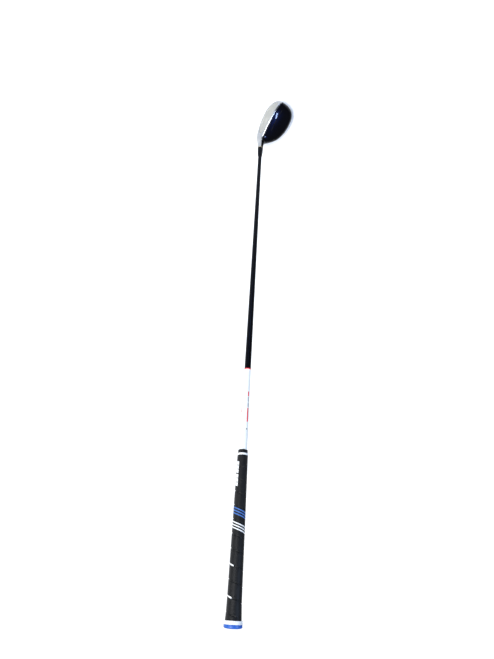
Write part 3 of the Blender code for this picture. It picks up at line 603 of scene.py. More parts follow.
def body_point(x, kind, value):
    """A point (y, z) of the head's section at x, on one of its stretches."""
    form = outline(x)
    height = form["top"] - form["sole"]
    lean = math.tan(LOFT)
    lead = LEAD_ROUND * form["size"]
    top = TOP_ROUND * form["size"]
    lead_cut = lead * math.tan((math.pi / 2 + LOFT) / 2)
    top_cut = top * math.tan((math.pi / 2 - LOFT) / 2)
    low_y = form["front"] - lead_cut
    high_y = form["front"] - height * lean - top_cut
    if kind == "sole":
        power = 2 / SOLE_SECTION_POWER
        chord = low_y - form["back"]
        y = low_y - chord * math.sin(value) ** power
        z = form["skirt"] - (form["skirt"] - form["sole"]) * max(0.0, math.cos(value)) ** power
    elif kind == "sole_edge":
        y = form["back"]
        z = form["skirt"] - SEAM / 2
    elif kind == "lead":
        turn = (math.pi / 2 + LOFT) * value
        y = low_y + lead * math.sin(turn)
        z = form["sole"] + lead * (1 - math.cos(turn))
    elif kind in ("front", "face", "rim"):
        start = lead_cut * math.cos(LOFT)
        end = height - top_cut * math.cos(LOFT)
        share = value
        if kind == "face":
            side, part, shift = value
            edge = face_share(x, side) + shift / max(0.001, end - start)
            share = mix(0.5, edge, part)
        elif kind == "rim":
            side, part = value
            edge = face_share(x, side) + side * SEAM / max(0.001, end - start)
            share = mix(0.5 + side / 2, edge, part)
        z = form["sole"] + mix(start, end, share)
        y = form["front"] - (z - form["sole"]) * lean
    elif kind == "top":
        turn = (math.pi / 2 - LOFT) * (1 - value)
        y = high_y + top * math.sin(turn)
        z = form["top"] - top * (1 - math.cos(turn))
    elif kind == "crown_edge":
        y = form["back"]
        z = form["skirt"] + SEAM / 2
    else:
        chord = max(1e-6, high_y - form["back"])
        fit = min(1.0, chord / SHORT_CHORD)
        out = CROWN_OUT_POWER / 2
        panel_start = math.asin(min(1.0, (STEP_AT + STEP_RUN) * fit / chord) ** out)
        if kind == "behind":
            behind = value * fit
        else:
            behind = chord * math.sin(mix(panel_start, math.pi / 2, value)) ** (1 / out)
        turn = math.asin(min(1.0, behind / chord) ** out)
        share = behind / chord
        y = high_y - behind
        fall = max(0.0, math.cos(turn)) ** (2 / CROWN_UP_POWER)
        z = form["skirt"] + (form["top"] - form["skirt"]) * fall
        z += CROWN_RISE * form["size"] * 27 / 4 * share * (1 - share) ** 2
        z -= step_drop(x, behind / fit, chord / fit)
    return y, max(0.0, z)


def head_point(path, station):
    """A point of the head's skin, by the way from the toe, round the bend and up the neck."""
    kind, value, clock = station
    x = max(MID_X - HEEL_LIMIT * HEEL_REACH, BEND_X - path)
    y, height = body_point(x, kind, value)
    round_share = smooth((path - NECKING_START) / NECKING_LENGTH)
    neck_share = max(0.0, path - BEND_LENGTH) / NECK_LENGTH
    neck_r = mix(NECK_BASE_R, NECK_TOP_R, neck_share)
    y = mix(y, AXIS_Y + neck_r * math.cos(clock), round_share)
    height = mix(height, BEND_Z - BEND_R + neck_r * math.sin(clock), round_share)
    drop = BEND_Z - height
    turn = min(max(0.0, path / BEND_R), LIE)
    run = max(0.0, path - BEND_LENGTH)
    across = BEND_X - min(0.0, path) - drop * math.sin(turn) + run * AXIS_DIR.x
    up = BEND_Z - drop * math.cos(turn) + run * AXIS_DIR.z
    return Vector((across, y, up))


# Where each stretch of a section comes to lie on the neck's circle, in degrees
CLOCKS = {"sole": (180, 290), "lead": (296, 315), "face": (320, 400), "top": (405, 425), "crown": (432, 539)}


def clocked(stations, stretch):
    start, end = CLOCKS[stretch]
    last = max(1, len(stations) - 1)
    turns = [math.radians(mix(start, end, index / last)) for index in range(len(stations))]
    return [(kind, value, turn) for (kind, value), turn in zip(stations, turns)]


def section_stations():
    """The stations round a section, and where the face and the crown start and end in them."""
    sole_turns = [math.radians(89.6), math.radians(88.5)] + spread(math.radians(88.5), 0.0, 56)
    sole = [("sole_edge", 0)] + [("sole", turn) for turn in sole_turns]
    lead = [("lead", share) for share in spread(0.0, 1.0, 8)]
    rim = spread(0.0, 1.0, 5)
    face = [("rim", (-1, part)) for part in rim]
    face += [("face", (-1, 1 - part, 0)) for part in [0.0] + spread(0.0, 1.0, FACE_ROWS)]
    face += [("face", (1, part, 0)) for part in spread(0.0, 1.0, FACE_ROWS)]
    face += [("rim", (1, part)) for part in reversed(rim)]
    top = [("front", 1)] + [("top", share) for share in spread(0.0, 1.0, 7)]
    band = [("behind", CROWN_EDGE - SEAM), ("behind", CROWN_EDGE)]
    band += [("behind", where) for where in spread(CROWN_EDGE, STEP_AT, 16)]
    band += [("behind", where) for where in spread(STEP_AT, STEP_AT + STEP_RUN, 8)]
    panel = [("panel", share) for share in spread(0.0, 0.995, 56)] + [("crown_edge", 0)]
    loop = clocked(sole, "sole") + clocked(lead, "lead") + clocked(face, "face")
    loop += clocked(top, "top") + clocked(band + panel, "crown")
    before_face = len(sole) + len(lead) + len(rim)
    before_crown = len(sole) + len(lead) + len(face) + len(top) + 1
    return loop, {
        "face": (before_face, before_face + 2 * FACE_ROWS),
        "crown": (before_crown, len(loop) - 1),
    }


def path_stations():
    """The stations from toe to neck, and where the crown's and the face's ends fall in them."""
    toe_turns = spread(0.015, 0.173, 9)
    xs = [mix(MID_X, TOE_X, math.cos(turn)) for turn in toe_turns]
    crown_toe = xs[-1] - SEAM
    xs.append(crown_toe)
    xs += [mix(MID_X, TOE_X, math.cos(turn)) for turn in spread(0.173, 0.60, 12)][1:]
    xs = [x for x in xs if x > FACE_TOE_X + 2 * SEAM]
    face_turns = spread(math.pi / 2, math.asin(0.6), 18)
    face_xs = [FACE_TOE_X - FACE_TOE_CURVE * (1 - math.sin(turn)) for turn in face_turns]
    xs += [FACE_TOE_X + SEAM, FACE_TOE_X] + face_xs + steps_between(face_xs[-1], BEND_X, FINE)[:-1]
    paths = [BEND_X - x for x in xs] + [0.0] + steps_between(0.0, FACE_HEEL, FINE)
    face_end = len(paths) - 1
    paths += [FACE_HEEL + SEAM] + steps_between(FACE_HEEL + SEAM, CROWN_HEEL, FINE)
    crown_end = len(paths) - 1
    paths += [CROWN_HEEL + SEAM] + steps_between(CROWN_HEEL + SEAM, BEND_LENGTH, FINE)
    paths += steps_between(BEND_LENGTH, BEND_LENGTH + NECK_LENGTH + CAD_GAP - SEAM, 2 * FINE)
    starts = {"crown": xs.index(crown_toe), "face": xs.index(FACE_TOE_X)}
    return paths, {"crown": (starts["crown"], crown_end), "face": (starts["face"], face_end)}


def inside(cell, start, end, margin=0):
    return start - margin <= cell < end + margin


def head_skin(wanted):
    """The cells of the head's skin that one panel owns. Narrow strips between panels have no owner."""
    loop, across = section_stations()
    paths, along = path_stations()
    count = len(loop)
    bm = bmesh.new()
    points = {}

    def corner(row, column):
        column %= count
        if column == count - 1 and not along["crown"][0] <= row <= along["crown"][1]:
            column = 0
        if (row, column) not in points:
            points[row, column] = bm.verts.new(head_point(paths[row], loop[column]))
        return points[row, column]

    for row in range(len(paths) - 1):
        for column in range(count):
            owner = "body"
            for panel in ("crown", "face"):
                if inside(row, *along[panel], 1) and inside(column, *across[panel], 1):
                    owner = "line"
                if inside(row, *along[panel]) and inside(column, *across[panel]):
                    owner = panel
            if owner != wanted:
                continue
            corners = [corner(row, column), corner(row + 1, column)]
            corners += [corner(row + 1, column + 1), corner(row, column + 1)]
            distinct = list(dict.fromkeys(corners))
            if len(distinct) > 2:
                cell = bm.faces.new(distinct)
                # The crown's stretch beyond the crown's ends and the skirt rows take the dark finish. Up the
                # back of the neck this is painted shade on the side turned away from the lights; along the
                # skirt it is the crown's paint carried down.
                painted = inside(column, *across["crown"]) or column < SKIRT_ROWS
                cell.material_index = int(painted)
    if wanted == "body":
        bm.faces.new([corner(0, column) for column in range(count - 1)])
    return bm


def port_matrix():
    """Local Z points out of the sole at the weight's port, with its zero on the skin."""
    path = BEND_X - PORT_X
    here = head_point(path, ("sole", PORT_TURN, 0.0))
    along = head_point(path - WEIGHT_R, ("sole", PORT_TURN, 0.0)) - here
    back = head_point(path, ("sole", PORT_TURN + PORT_NUDGE, 0.0)) - here
    out = along.cross(back).normalized()
    if out.z > 0:
        out.negate()
    return Matrix.Translation(here) @ out.to_track_quat("Z", "Y").to_matrix().to_4x4()


def open_port(bm, port):
    """Opens the weight's round pocket in the sole: a clean rim, a wall and a floor."""
    to_port = port.inverted()
    radius = WEIGHT_R + CAD_GAP
    near = [vert for vert in bm.verts if (vert.co - port.translation).length < 2 * radius]
    gone = [vert for vert in near if (to_port @ vert.co).xy.length < radius]
    if not gone:
        raise RuntimeError("the weight's pocket misses the sole")
    bmesh.ops.delete(bm, geom=gone, context="VERTS")
    rim = []
    for edge in bm.edges:
        ends = [to_port @ vert.co for vert in edge.verts]
        if edge.is_boundary and max(end.length for end in ends) < 1.5 * radius:
            rim.append(edge)
    for vert in {vert for edge in rim for vert in edge.verts}:
        spot = to_port @ vert.co
        reach = spot.xy.length
        vert.co = port @ Vector((spot.x * radius / reach, spot.y * radius / reach, spot.z))
    wall = bmesh.ops.extrude_edge_only(bm, edges=rim)["geom"]
    foot = [item for item in wall if isinstance(item, bmesh.types.BMVert)]
    for vert in foot:
        spot = to_port @ vert.co
        vert.co = port @ Vector((spot.x, spot.y, -WEIGHT_H - CAD_GAP))
    edges = [item for item in wall if isinstance(item, bmesh.types.BMEdge)]
    bmesh.ops.contextual_create(bm, geom=[edge for edge in edges if edge.is_boundary])
    bmesh.ops.recalc_face_normals(bm, faces=bm.faces)


def score(bm, height, depth):
    """Cuts one score line, in two lengths with a blank between them."""
    levels = [height + SCORE_WIDTH * share for share in (-0.5, -0.25, 0.25, 0.5)]
    for level in levels:
        geometry = list(bm.verts) + list(bm.edges) + list(bm.faces)
        bmesh.ops.bisect_plane(bm, geom=geometry, plane_co=(0, 0, level), plane_no=(0, 0, 1), dist=SCORE_SNAP)
    inward = Vector((0.0, -math.cos(LOFT), -math.sin(LOFT)))
    for vert in bm.verts:
        if levels[1] - LEVEL_SLACK < vert.co.z < levels[2] + LEVEL_SLACK:
            inset = max(min(vert.co.x - start, end - vert.co.x) for start, end in SCORE_SPANS)
            vert.co += inward * depth * smooth(inset / SCORE_WIDTH)


# ---------------------------------------------------------------- shaft and grip surfaces


def shaft_radius(height):
    """The shaft's outer radius at a height along the axis, from the ground."""
    marks = (
        (HOSEL_TOP, SHAFT_TIP_R),
        (TIP_PARALLEL_END, SHAFT_TIP_R),
        (WHITE_END, SHAFT_WHITE_END_R),
        (GRIP_MOUTH, SHAFT_MOUTH_R),
        (CLUB_LENGTH, SHAFT_BUTT_R),
    )
    for (low, low_r), (high, high_r) in zip(marks, marks[1:]):
        if height <= high:
            return mix(low_r, high_r, max(0.0, height - low) / (high - low))
    return SHAFT_BUTT_R


def grip_radius(from_butt):
    """The grip's outer radius, from the flare at the butt to the mouth."""
    share = min(1.0, max(0.0, from_butt / GRIP_LENGTH))
    flare = (CAP_R - GRIP_BUTT_R) * math.exp(-from_butt / CAP_FLARE)
    return mix(GRIP_BUTT_R, MOUTH_R + MOUTH_SWELL, share**GRIP_TAPER_POWER) + flare


def round_point(from_butt, clock, radius):
    """A point on the shaft or grip, by its distance from the butt and its clock angle."""
    return (radius * math.cos(clock), radius * math.sin(clock), CLUB_LENGTH - from_butt)


def film(bm, rows):
    """A grid of faces through rows of points, facing outwards."""
    grid = [[bm.verts.new(point) for point in row] for row in rows]
    for low, high in zip(grid, grid[1:]):
        for index in range(len(low) - 1):
            bm.faces.new((low[index], low[index + 1], high[index + 1], high[index]))


def groove_place(turn_index, clock):
    """Distance from the butt of the groove's middle, on one of its turns, at a clock angle."""
    return WRAP_START + WRAP_GROOVE / 2 + WRAP_PITCH * (turn_index + clock / (2 * math.pi))


def printed_bar(bm, near_end, far_end, clocks):
    """A bar of ink on the shaft, between two distances from the butt and two clock angles."""
    rows = []
    for from_butt in [near_end] + spread(near_end, far_end, 6):
        radius = shaft_radius(CLUB_LENGTH - from_butt) + INK_LIFT
        turns = [clocks[0]] + spread(*clocks, 8)
        rows.append([round_point(from_butt, math.radians(turn), radius) for turn in turns])
    film(bm, rows)


def spiral_band(bm, turn_index, behind, widths, clocks, lift):
    """A band of paint beside the groove, or in it, with round ends and a width at each."""
    start, end = (math.radians(clock) for clock in clocks)
    rows = []
    for clock in [start] + spread(start, end, 60):
        width = mix(*widths, (clock - start) / (end - start))
        ends = width / 2 / GRIP_BUTT_R
        inset = max(0.0, max(start + ends - clock, clock - end + ends) / ends)
        half = width / 2 * math.sqrt(max(0.02, 1 - inset**2))
        middle = groove_place(turn_index, clock) + behind
        row = []
        for share in (-1.0, -0.5, 0.0, 0.5, 1.0):
            where = middle + half * share
            row.append(round_point(where, clock, grip_radius(where) + lift))
        rows.append(row)
    film(bm, rows)


def slanted_bar(bm, from_butt):
    """One bar of the plain mark on the side of the grip."""
    rows = []
    for share in [0.0] + spread(0.0, 1.0, 12):
        clock = math.radians(mix(*MARK_CLOCKS, share))
        places = [from_butt + MARK_SLANT * share + across for across in MARK_ACROSS]
        rows.append([round_point(where, clock, grip_radius(where) + PAINT_LIFT) for where in places])
    film(bm, rows)


# ---------------------------------------------------------------- operators


class PieceOperator:
    bl_options = {"REGISTER", "UNDO"}

    def execute(self, context):
        self.build(context.scene)
        return {"FINISHED"}


class FAIRWAY_OT_stage(PieceOperator, bpy.types.Operator):
    """Lays the pale floor, hangs the soft lights and sets up the camera"""

    bl_idname = "fairway.stage"
    bl_label = "Stage"

    def build(self, scene):
        settings = scene.fairway_stage
        bm = bmesh.new()
        bmesh.ops.create_grid(bm, x_segments=8, y_segments=8, size=FLOOR_REACH)
        mesh = bpy.data.meshes.new("floor")
        bm.to_mesh(mesh)
        bm.free()
        shades = (scaled(settings.floor, 0.985), settings.floor)
        material = surface("matt_paper", shades, (0.86, 0.92), 0.02, (0.001, 0.00002))
        mesh.materials.append(material)
        floor = bpy.data.objects.new("floor", mesh)
        floor.location.z = -SEAM
        scene.collection.objects.link(floor)

        lamps = (
            ("key", "SUN", (-0.6, 1.3, 1.9), (0.6, 0.6), settings.key_power, "#FFFFFF"),
            ("band", "AREA", (0.0, 1.3, 1.5), (1.4, 0.8), settings.band_power, "#FFFFFF"),
            ("low", "AREA", (1.8, 0.9, 0.45), (0.4, 0.4), settings.low_power, "#BFD4FF"),
            ("spark", "AREA", (0.27, -0.59, 2.03), (0.55, 0.16), settings.spark_power, "#BCD6FF"),
        )
        for name, kind, location, sides, power, tone in lamps:
            data = bpy.data.lights.new(name, kind)
            if kind == "SUN":
                data.angle = sides[0]
            else:
                data.shape = "RECTANGLE"
                data.size, data.size_y = sides
            data.energy = power
            data.color = linear(tone)
            lamp = bpy.data.objects.new(name, data)
            lamp.location = location
            lamp.rotation_euler = lamp.location.to_track_quat("Z", "Y").to_euler()
            scene.collection.objects.link(lamp)

        world = bpy.data.worlds.new("studio")
        world.use_nodes = True
        world.node_tree.nodes["Background"].inputs["Color"].default_value = (1.0, 1.0, 1.0, 1.0)
        world.node_tree.nodes["Background"].inputs["Strength"].default_value = SKY
        scene.world = world
        scene.view_settings.view_transform = "Standard"

        data = bpy.data.cameras.new("camera")
        data.sensor_fit = "VERTICAL"
        data.sensor_height = SENSOR_HEIGHT
        data.lens = CAMERA_LENS
        camera = bpy.data.objects.new("camera", data)
        camera.location = CAMERA_PLACE
        camera.rotation_euler = Euler([math.radians(turn) for turn in CAMERA_TURN])
        scene.collection.objects.link(camera)
        scene.camera = camera


class FAIRWAY_OT_body(PieceOperator, bpy.types.Operator):
    """Builds the steel body with its rim, its sole with the weight's port, and its neck"""

    bl_idname = "fairway.body"
    bl_label = "Head body"

    def build(self, scene):
        settings = scene.fairway_head
        bm = head_skin("body")
        open_port(bm, port_matrix())
        paints = [polished_steel(settings)]
        # Second finish: dark lacquer on the skirt rows, and painted shade up the back of the neck, the side
        # turned away from the lights
        paints.append(tube_lacquer("skirt_lacquer_and_neck_shade", settings.crown, Specular_IOR_Level=LACQUER_SHINE))
        body = place("body_shell", bm, paints, "satin_steel", ["head_body"])
        thicken(body, HEAD_WALL)


class FAIRWAY_OT_face(PieceOperator, bpy.types.Operator):
    """Builds the blasted face insert with its score lines"""

    bl_idname = "fairway.face"
    bl_label = "Face insert"

    def build(self, scene):
        settings = scene.fairway_head
        bm = head_skin("face")
        for index in range(settings.line_count):
            score(bm, SCORE_LOW + settings.line_pitch * index, settings.line_depth)
        face = place("face_insert", bm, [blasted_steel(settings)], "face_steel", ["face_plate"])
        thicken(face, FACE_WALL)


class FAIRWAY_OT_crown(PieceOperator, bpy.types.Operator):
    """Builds the lacquered crown with its lowered panel"""

    bl_idname = "fairway.crown"
    bl_label = "Crown"

    def build(self, scene):
        bm = head_skin("crown")
        crown = place("crown_shell", bm, [crown_lacquer(scene.fairway_head)], "crown_paint", ["crown_plate"])
        thicken(crown, HEAD_WALL)


class FAIRWAY_OT_ferrule(PieceOperator, bpy.types.Operator):
    """Turns the ferrule and the trim ring under it"""

    bl_idname = "fairway.ferrule"
    bl_label = "Ferrule and trim ring"

    def build(self, scene):
        low = HOSEL_TOP + CAD_GAP
        high = low + RING_H
        ring = turned(rounded(collar(BORE_R, NECK_TOP_R, low, high), TRIM_ROUND))
        place("trim_ring", ring, [trim_metal(scene.fairway_head)], "trim_metal", ["hosel_ring"], AXIS_FRAME)

        base = high + CAD_GAP
        bore = SHAFT_TIP_R + SEAM
        outline = [(bore, base + FERRULE_H)]
        for share in [0.0] + spread(0.0, 1.0, 24)[:-1]:
            radius = mix(NECK_TOP_R, FERRULE_TOP_R, (1 - share) ** FERRULE_POWER)
            outline.append((radius, base + FERRULE_H * (1 - share)))
        outline += [(NECK_TOP_R, high + SEAM), (bore, high + SEAM)]
        cone = turned(rounded(outline, FERRULE_ROUND))
        plastic = ferrule_plastic(scene.fairway_head)
        place("ferrule_cone", cone, [plastic], "ferrule_plastic", ["ferrule"], AXIS_FRAME)


class FAIRWAY_OT_shaft(PieceOperator, bpy.types.Operator):
    """Turns the shaft, black below and white above with a red band between"""

    bl_idname = "fairway.shaft"
    bl_label = "Shaft"

    def build(self, scene):
        settings = scene.fairway_shaft
        red_end = PAINT_END - settings.band
        heights = [CLUB_LENGTH - CAP_H - CAD_GAP, GRIP_MOUTH] + steps_between(GRIP_MOUTH, PAINT_END, 0.01)
        heights += [red_end] + steps_between(red_end, HOSEL_TOP - 0.02, 0.02)
        outer = [(shaft_radius(height), height) for height in heights]
        inner = [(SHAFT_TIP_R - SHAFT_TIP_WALL, heights[-1]), (SHAFT_BUTT_R - SHAFT_BUTT_WALL, heights[0])]
        bm = turned(outer + inner)
        for face in bm.faces:
            middle = face.calc_center_median().z
            if middle > PAINT_END:
                face.material_index = 1
            elif middle > red_end:
                face.material_index = 2
        shine = {"Specular_IOR_Level": LACQUER_SHINE, "Specular_Tint": LACQUER_TINT}
        paints = [
            tube_lacquer("shaft_lacquer_black", settings.black, **shine),
            tube_lacquer("shaft_lacquer_white", settings.white),
            tube_lacquer("shaft_lacquer_red", settings.red),
        ]
        place("shaft_tube", bm, paints, "shaft_composite", ["shaft"], AXIS_FRAME)

        for ink, base in (("red", settings.red), ("grey", settings.grey), ("dark", settings.dark)):
            bm = bmesh.new()
            for near_end, far_end, clocks in PRINTED_BARS[ink]:
                printed_bar(bm, near_end, far_end, clocks)
            paint = print_ink("shaft_ink_" + ink, base)
            bars = place("shaft_bars_" + ink, bm, [paint], "shaft_composite", (), AXIS_FRAME)
            thicken(bars, INK_WALL)


class FAIRWAY_OT_sleeve(PieceOperator, bpy.types.Operator):
    """Builds the rubber sleeve with its spiral groove"""

    bl_idname = "fairway.sleeve"
    bl_label = "Grip sleeve"

    def build(self, scene):
        settings = scene.fairway_grip
        sides = TURNED_SIDES
        room = MOUTH_SEAT - 2 * WRAP_GROOVE - WRAP_START
        last = int(sides * room / WRAP_PITCH)
        groove_cuts = [WRAP_GROOVE * share for share in [0.0] + spread(0.0, 1.0, 10)]
        land_shares = spread(0.0, 1.0, 9)[:-1]
        bm = bmesh.new()

        def vertex(from_butt, side, radius):
            return bm.verts.new(round_point(from_butt, 2 * math.pi * side / sides, radius))

        def ring(from_butt, radius):
            return [vertex(from_butt, side, radius) for side in range(sides)]

        butt_end = CAP_H + CAD_GAP + BUTT_RING_H + CAD_GAP
        butt_rings = [ring(butt_end, SHAFT_BUTT_R + SLEEVE_ROOM), ring(butt_end, grip_radius(butt_end))]
        mouth_rings = [
            ring(MOUTH_SEAT, grip_radius(MOUTH_SEAT)),
            ring(MOUTH_SEAT, MOUTH_R - MOUTH_SINK),
            ring(MOUTH_STEP, MOUTH_R - MOUTH_SINK),
            ring(MOUTH_STEP, MOUTH_R),
            ring(GRIP_LENGTH - MOUTH_CHAMFER, MOUTH_R),
            ring(GRIP_LENGTH, MOUTH_R - MOUTH_CHAMFER),
            ring(GRIP_LENGTH, SHAFT_MOUTH_R + SEAM),
        ]
        for rings in (butt_rings, mouth_rings + butt_rings[:1]):
            for low, high in zip(rings, rings[1:]):
                for side in range(sides):
                    after = (side + 1) % sides
                    bm.faces.new((low[side], high[side], high[after], low[after]))

        def groove_drop(across, step):
            """The groove's depth, easing in at its first side-lengths and out at its last."""
            ends = smooth(step / 8) * smooth((last - step) / 8)
            return settings.groove_depth * math.sin(math.pi * across / WRAP_GROOVE) ** 0.7 * ends

        spiral = []
        for step in range(last + 1):
            start = WRAP_START + WRAP_PITCH * step / sides
            row = []
            for cut in groove_cuts:
                drop = groove_drop(min(cut, WRAP_GROOVE - GROOVE_SLACK), step)
                row.append(vertex(start + cut, step, grip_radius(start + cut) - drop))
            spiral.append(row)

        def land_end(step):
            if step + sides <= last:
                return spiral[step + sides][0]
            return mouth_rings[0][step % sides]

        lands = []
        for step, row in enumerate(spiral):
            low = CLUB_LENGTH - row[-1].co.z
            high = CLUB_LENGTH - land_end(step).co.z
            places = [mix(low, high, share) for share in land_shares]
            lands.append([vertex(where, step, grip_radius(where)) for where in places])
        for step in range(last):
            here = spiral[step] + lands[step] + [land_end(step)]
            there = spiral[step + 1] + lands[step + 1] + [land_end(step + 1)]
            if step + sides == last:
                here += [spiral[last][-1]] + lands[last] + [land_end(last)]
            final = len(there) - 2
            for cell in range(final):
                bm.faces.new((here[cell], here[cell + 1], there[cell + 1], there[cell]))
            bm.faces.new(here[final:] + list(reversed(there[final:])))
        butt_rim = butt_rings[-1]
        for side in range(sides):
            after = (side + 1) % sides
            corners = [butt_rim[side], spiral[side][0], spiral[side + 1][0], butt_rim[after]]
            if after == 0:
                corners[3:3] = list(reversed(lands[0])) + [spiral[0][-1], spiral[0][0]]
            bm.faces.new(corners)
        bm.faces.new(list(reversed(spiral[0])))
        bm.faces.new(spiral[last])
        place("grip_rubber_sleeve", bm, [grip_rubber(settings)], "grip_rubber", ["grip_sleeve"], AXIS_FRAME)


class FAIRWAY_OT_grip_paint(PieceOperator, bpy.types.Operator):
    """Lays the stripes, the dashes in the groove and a plain bar mark on the grip"""

    bl_idname = "fairway.grip_paint"
    bl_label = "Grip paint"

    def build(self, scene):
        settings = scene.fairway_grip
        for name, turn_index, slot, base in (
            ("blue_stripes", BLUE_TURN, "blue_rubber", settings.stripe),
            ("white_stripes", WHITE_TURN, "white_rubber", settings.white),
        ):
            bm = bmesh.new()
            for behind in STRIPE_PLACES:
                spiral_band(bm, turn_index, behind, STRIPE_WIDTHS, STRIPE_CLOCKS, PAINT_LIFT)
            paint = print_ink("stripe_paint_" + name.split("_")[0], base)
            thicken(place(name, bm, [paint], slot, (), AXIS_FRAME), PAINT_WALL)
        bm = bmesh.new()
        for turn_index in DASH_TURNS:
            spiral_band(bm, turn_index, 0.0, DASH_WIDTHS, DASH_CLOCKS, DASH_LIFT)
        paint = print_ink("dash_paint_white", settings.white)
        thicken(place("groove_dashes", bm, [paint], "white_rubber", (), AXIS_FRAME), DASH_WALL)
        bm = bmesh.new()
        for index in range(MARK_BARS):
            blank = MARK_BLANK if index >= MARK_BARS / 2 else 0.0
            slanted_bar(bm, MARK_START + MARK_PITCH * index + blank)
        paint = print_ink("mark_paint_white", settings.white)
        thicken(place("bar_mark", bm, [paint], "white_rubber", (), AXIS_FRAME), PAINT_WALL)


class FAIRWAY_OT_grip_rings(PieceOperator, bpy.types.Operator):
    """Turns the white rings at the grip's mouth and butt"""

    bl_idname = "fairway.grip_rings"
    bl_label = "Grip rings"

    def build(self, scene):
        white = soft_rubber("moulded_rubber_white", scene.fairway_grip.white, 0.45)
        high = GRIP_MOUTH + MOUTH_LIP + CAD_GAP + MOUTH_RING_H
        low = high - MOUTH_RING_H - CAD_GAP + SEAM
        ring = turned(rounded(collar(MOUTH_R - MOUTH_SINK, MOUTH_RING_R, low, high), MOUTH_RING_ROUND, 6))
        place("mouth_band", ring, [white], "white_rubber", ["mouth_ring"], AXIS_FRAME)

        high = CLUB_LENGTH - CAP_H - CAD_GAP
        low = high - BUTT_RING_H - CAD_GAP + SEAM
        ring = turned(rounded(collar(CAP_R - BUTT_RING_WALL, CAP_R, low, high), BUTT_RING_ROUND))
        place("butt_band", ring, [white], "white_rubber", ["butt_ring"], AXIS_FRAME)


class FAIRWAY_OT_cap(PieceOperator, bpy.types.Operator):
    """Turns the blue butt cap with its vent hole"""

    bl_idname = "fairway.cap"
    bl_label = "Butt cap"

    def build(self, scene):
        base = CLUB_LENGTH - CAP_H - CAD_GAP + SEAM
        wall_top = CLUB_LENGTH - CAP_DOME
        profile = []
        for share in [0.0] + spread(0.0, 1.0, 24):
            turn = math.pi / 2 * share
            radius = mix(VENT_R, CAP_R, math.sin(turn) ** CAP_ROUND_POWER)
            profile.append((radius, wall_top + CAP_DOME * math.cos(turn)))
        profile += [(CAP_R, base), (VENT_R, base)]
        blue = soft_rubber("moulded_rubber_blue", scene.fairway_grip.cap, 0.36)
        place("butt_cap_dome", turned(profile), [blue], "blue_rubber", ["butt_cap"], AXIS_FRAME)


class FAIRWAY_OT_weight(PieceOperator, bpy.types.Operator):
    """Turns the tungsten weight in the sole and its socket screw"""

    bl_idname = "fairway.weight"
    bl_label = "Sole weight and screw"

    def build(self, scene):
        port = port_matrix()
        seat = -CAD_GAP - SCREW_HEAD_H - CAD_GAP
        hole_r = SCREW_HEAD_R + CAD_GAP
        thread_r = SCREW_R + CAD_GAP
        disc = [(hole_r, -CAD_GAP - WEIGHT_CHAMFER), (hole_r + WEIGHT_CHAMFER, -CAD_GAP)]
        disc += [(WEIGHT_R - WEIGHT_CHAMFER, -CAD_GAP), (WEIGHT_R, -CAD_GAP - WEIGHT_CHAMFER)]
        disc += [(WEIGHT_R, -WEIGHT_H), (thread_r, -WEIGHT_H), (thread_r, seat), (hole_r, seat)]
        tungsten = plain_metal("sintered_tungsten", "#8C8D90", 0.38, 0.0005)
        place("weight_disc", turned(disc), [tungsten], "weight_metal", ["rear_weight"], port)

        under_head = -CAD_GAP - SCREW_HEAD_H
        head = [(0.0, -CAD_GAP - SOCKET_DEPTH), (SOCKET_R, -CAD_GAP - SOCKET_DEPTH), (SOCKET_R, -CAD_GAP)]
        head += [(SCREW_HEAD_R - SCREW_CHAMFER, -CAD_GAP), (SCREW_HEAD_R, -CAD_GAP - SCREW_CHAMFER)]
        head += [(SCREW_HEAD_R, under_head), (SCREW_R, under_head)]
        head += [(SCREW_R, -SCREW_LENGTH), (0.0, -SCREW_LENGTH)]
        bm = turned(head)
        for vert in bm.verts:
            if abs(vert.co.xy.length - SOCKET_R) < LEVEL_SLACK:
                turn = math.atan2(vert.co.y, vert.co.x) % (math.pi / 3) - math.pi / 6
                vert.co.xy *= math.cos(math.pi / 6) / math.cos(turn)
        screw = plain_metal("bright_screw_steel", "#B9BBBE", 0.28, 0.0008)
        place("socket_screw", bm, [screw], "weight_metal", ["weight_screw"], port)


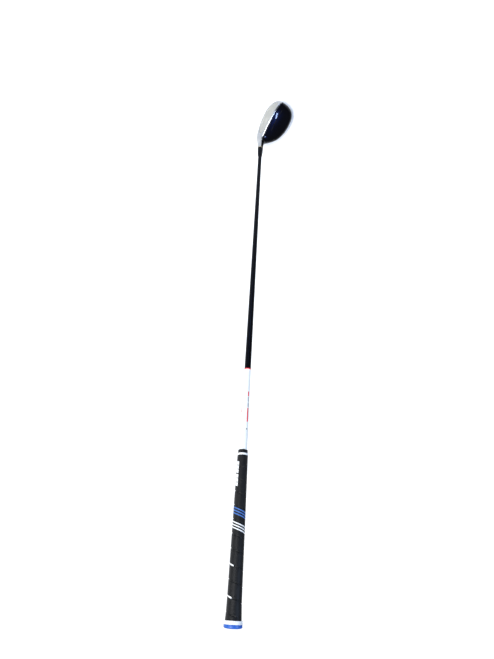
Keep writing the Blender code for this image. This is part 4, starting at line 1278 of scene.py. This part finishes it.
class FAIRWAY_OT_hidden(PieceOperator, bpy.types.Operator):
    """Finishes the pieces inside the club that keep their modelled shape"""

    bl_idname = "fairway.hidden"
    bl_label = "Inner pieces"

    def build(self, scene):
        finishes = {
            "tip_pin": plain_metal("turned_brass", "#C9A35A", 0.30, 0.0008),
            "grip_tape": plain_soft("paper_tape", "#D8CDB4", 0.8, 0.0010),
            "hot_melt_pad": plain_soft("set_hot_melt_glue", "#C9A868", 0.45, 0.0020),
        }
        for name, material in finishes.items():
            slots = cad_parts[name].material_slots
            if not slots:
                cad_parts[name].data.materials.append(material)
            for slot in slots:
                slot.material = material


PIECES = (
    FAIRWAY_OT_stage,
    FAIRWAY_OT_body,
    FAIRWAY_OT_face,
    FAIRWAY_OT_crown,
    FAIRWAY_OT_ferrule,
    FAIRWAY_OT_shaft,
    FAIRWAY_OT_sleeve,
    FAIRWAY_OT_grip_paint,
    FAIRWAY_OT_grip_rings,
    FAIRWAY_OT_cap,
    FAIRWAY_OT_weight,
    FAIRWAY_OT_hidden,
)
SETTINGS = {
    "fairway_head": HeadSettings,
    "fairway_shaft": ShaftSettings,
    "fairway_grip": GripSettings,
    "fairway_stage": StageSettings,
}


class FAIRWAY_PT_panel(bpy.types.Panel):
    """Lists the settings and the pieces in the sidebar"""

    bl_label = "Fairway Wood"
    bl_idname = "FAIRWAY_PT_panel"
    bl_space_type = "VIEW_3D"
    bl_region_type = "UI"
    bl_category = "Fairway Wood"

    def draw(self, context):
        for name, group in SETTINGS.items():
            box = self.layout.box()
            for key in group.__annotations__:
                box.prop(getattr(context.scene, name), key)
        for piece in PIECES:
            self.layout.operator(piece.bl_idname)


def register():
    for group in (*SETTINGS.values(), *PIECES, FAIRWAY_PT_panel):
        bpy.utils.register_class(group)
    for name, group in SETTINGS.items():
        setattr(bpy.types.Scene, name, PointerProperty(type=group))


def unregister():
    for name in SETTINGS:
        delattr(bpy.types.Scene, name)
    for group in reversed((*SETTINGS.values(), *PIECES, FAIRWAY_PT_panel)):
        bpy.utils.unregister_class(group)


def main():
    register()
    for piece in PIECES:
        module, operation = piece.bl_idname.split(".")
        getattr(getattr(bpy.ops, module), operation)()


if __name__ == "__main__":
    main()
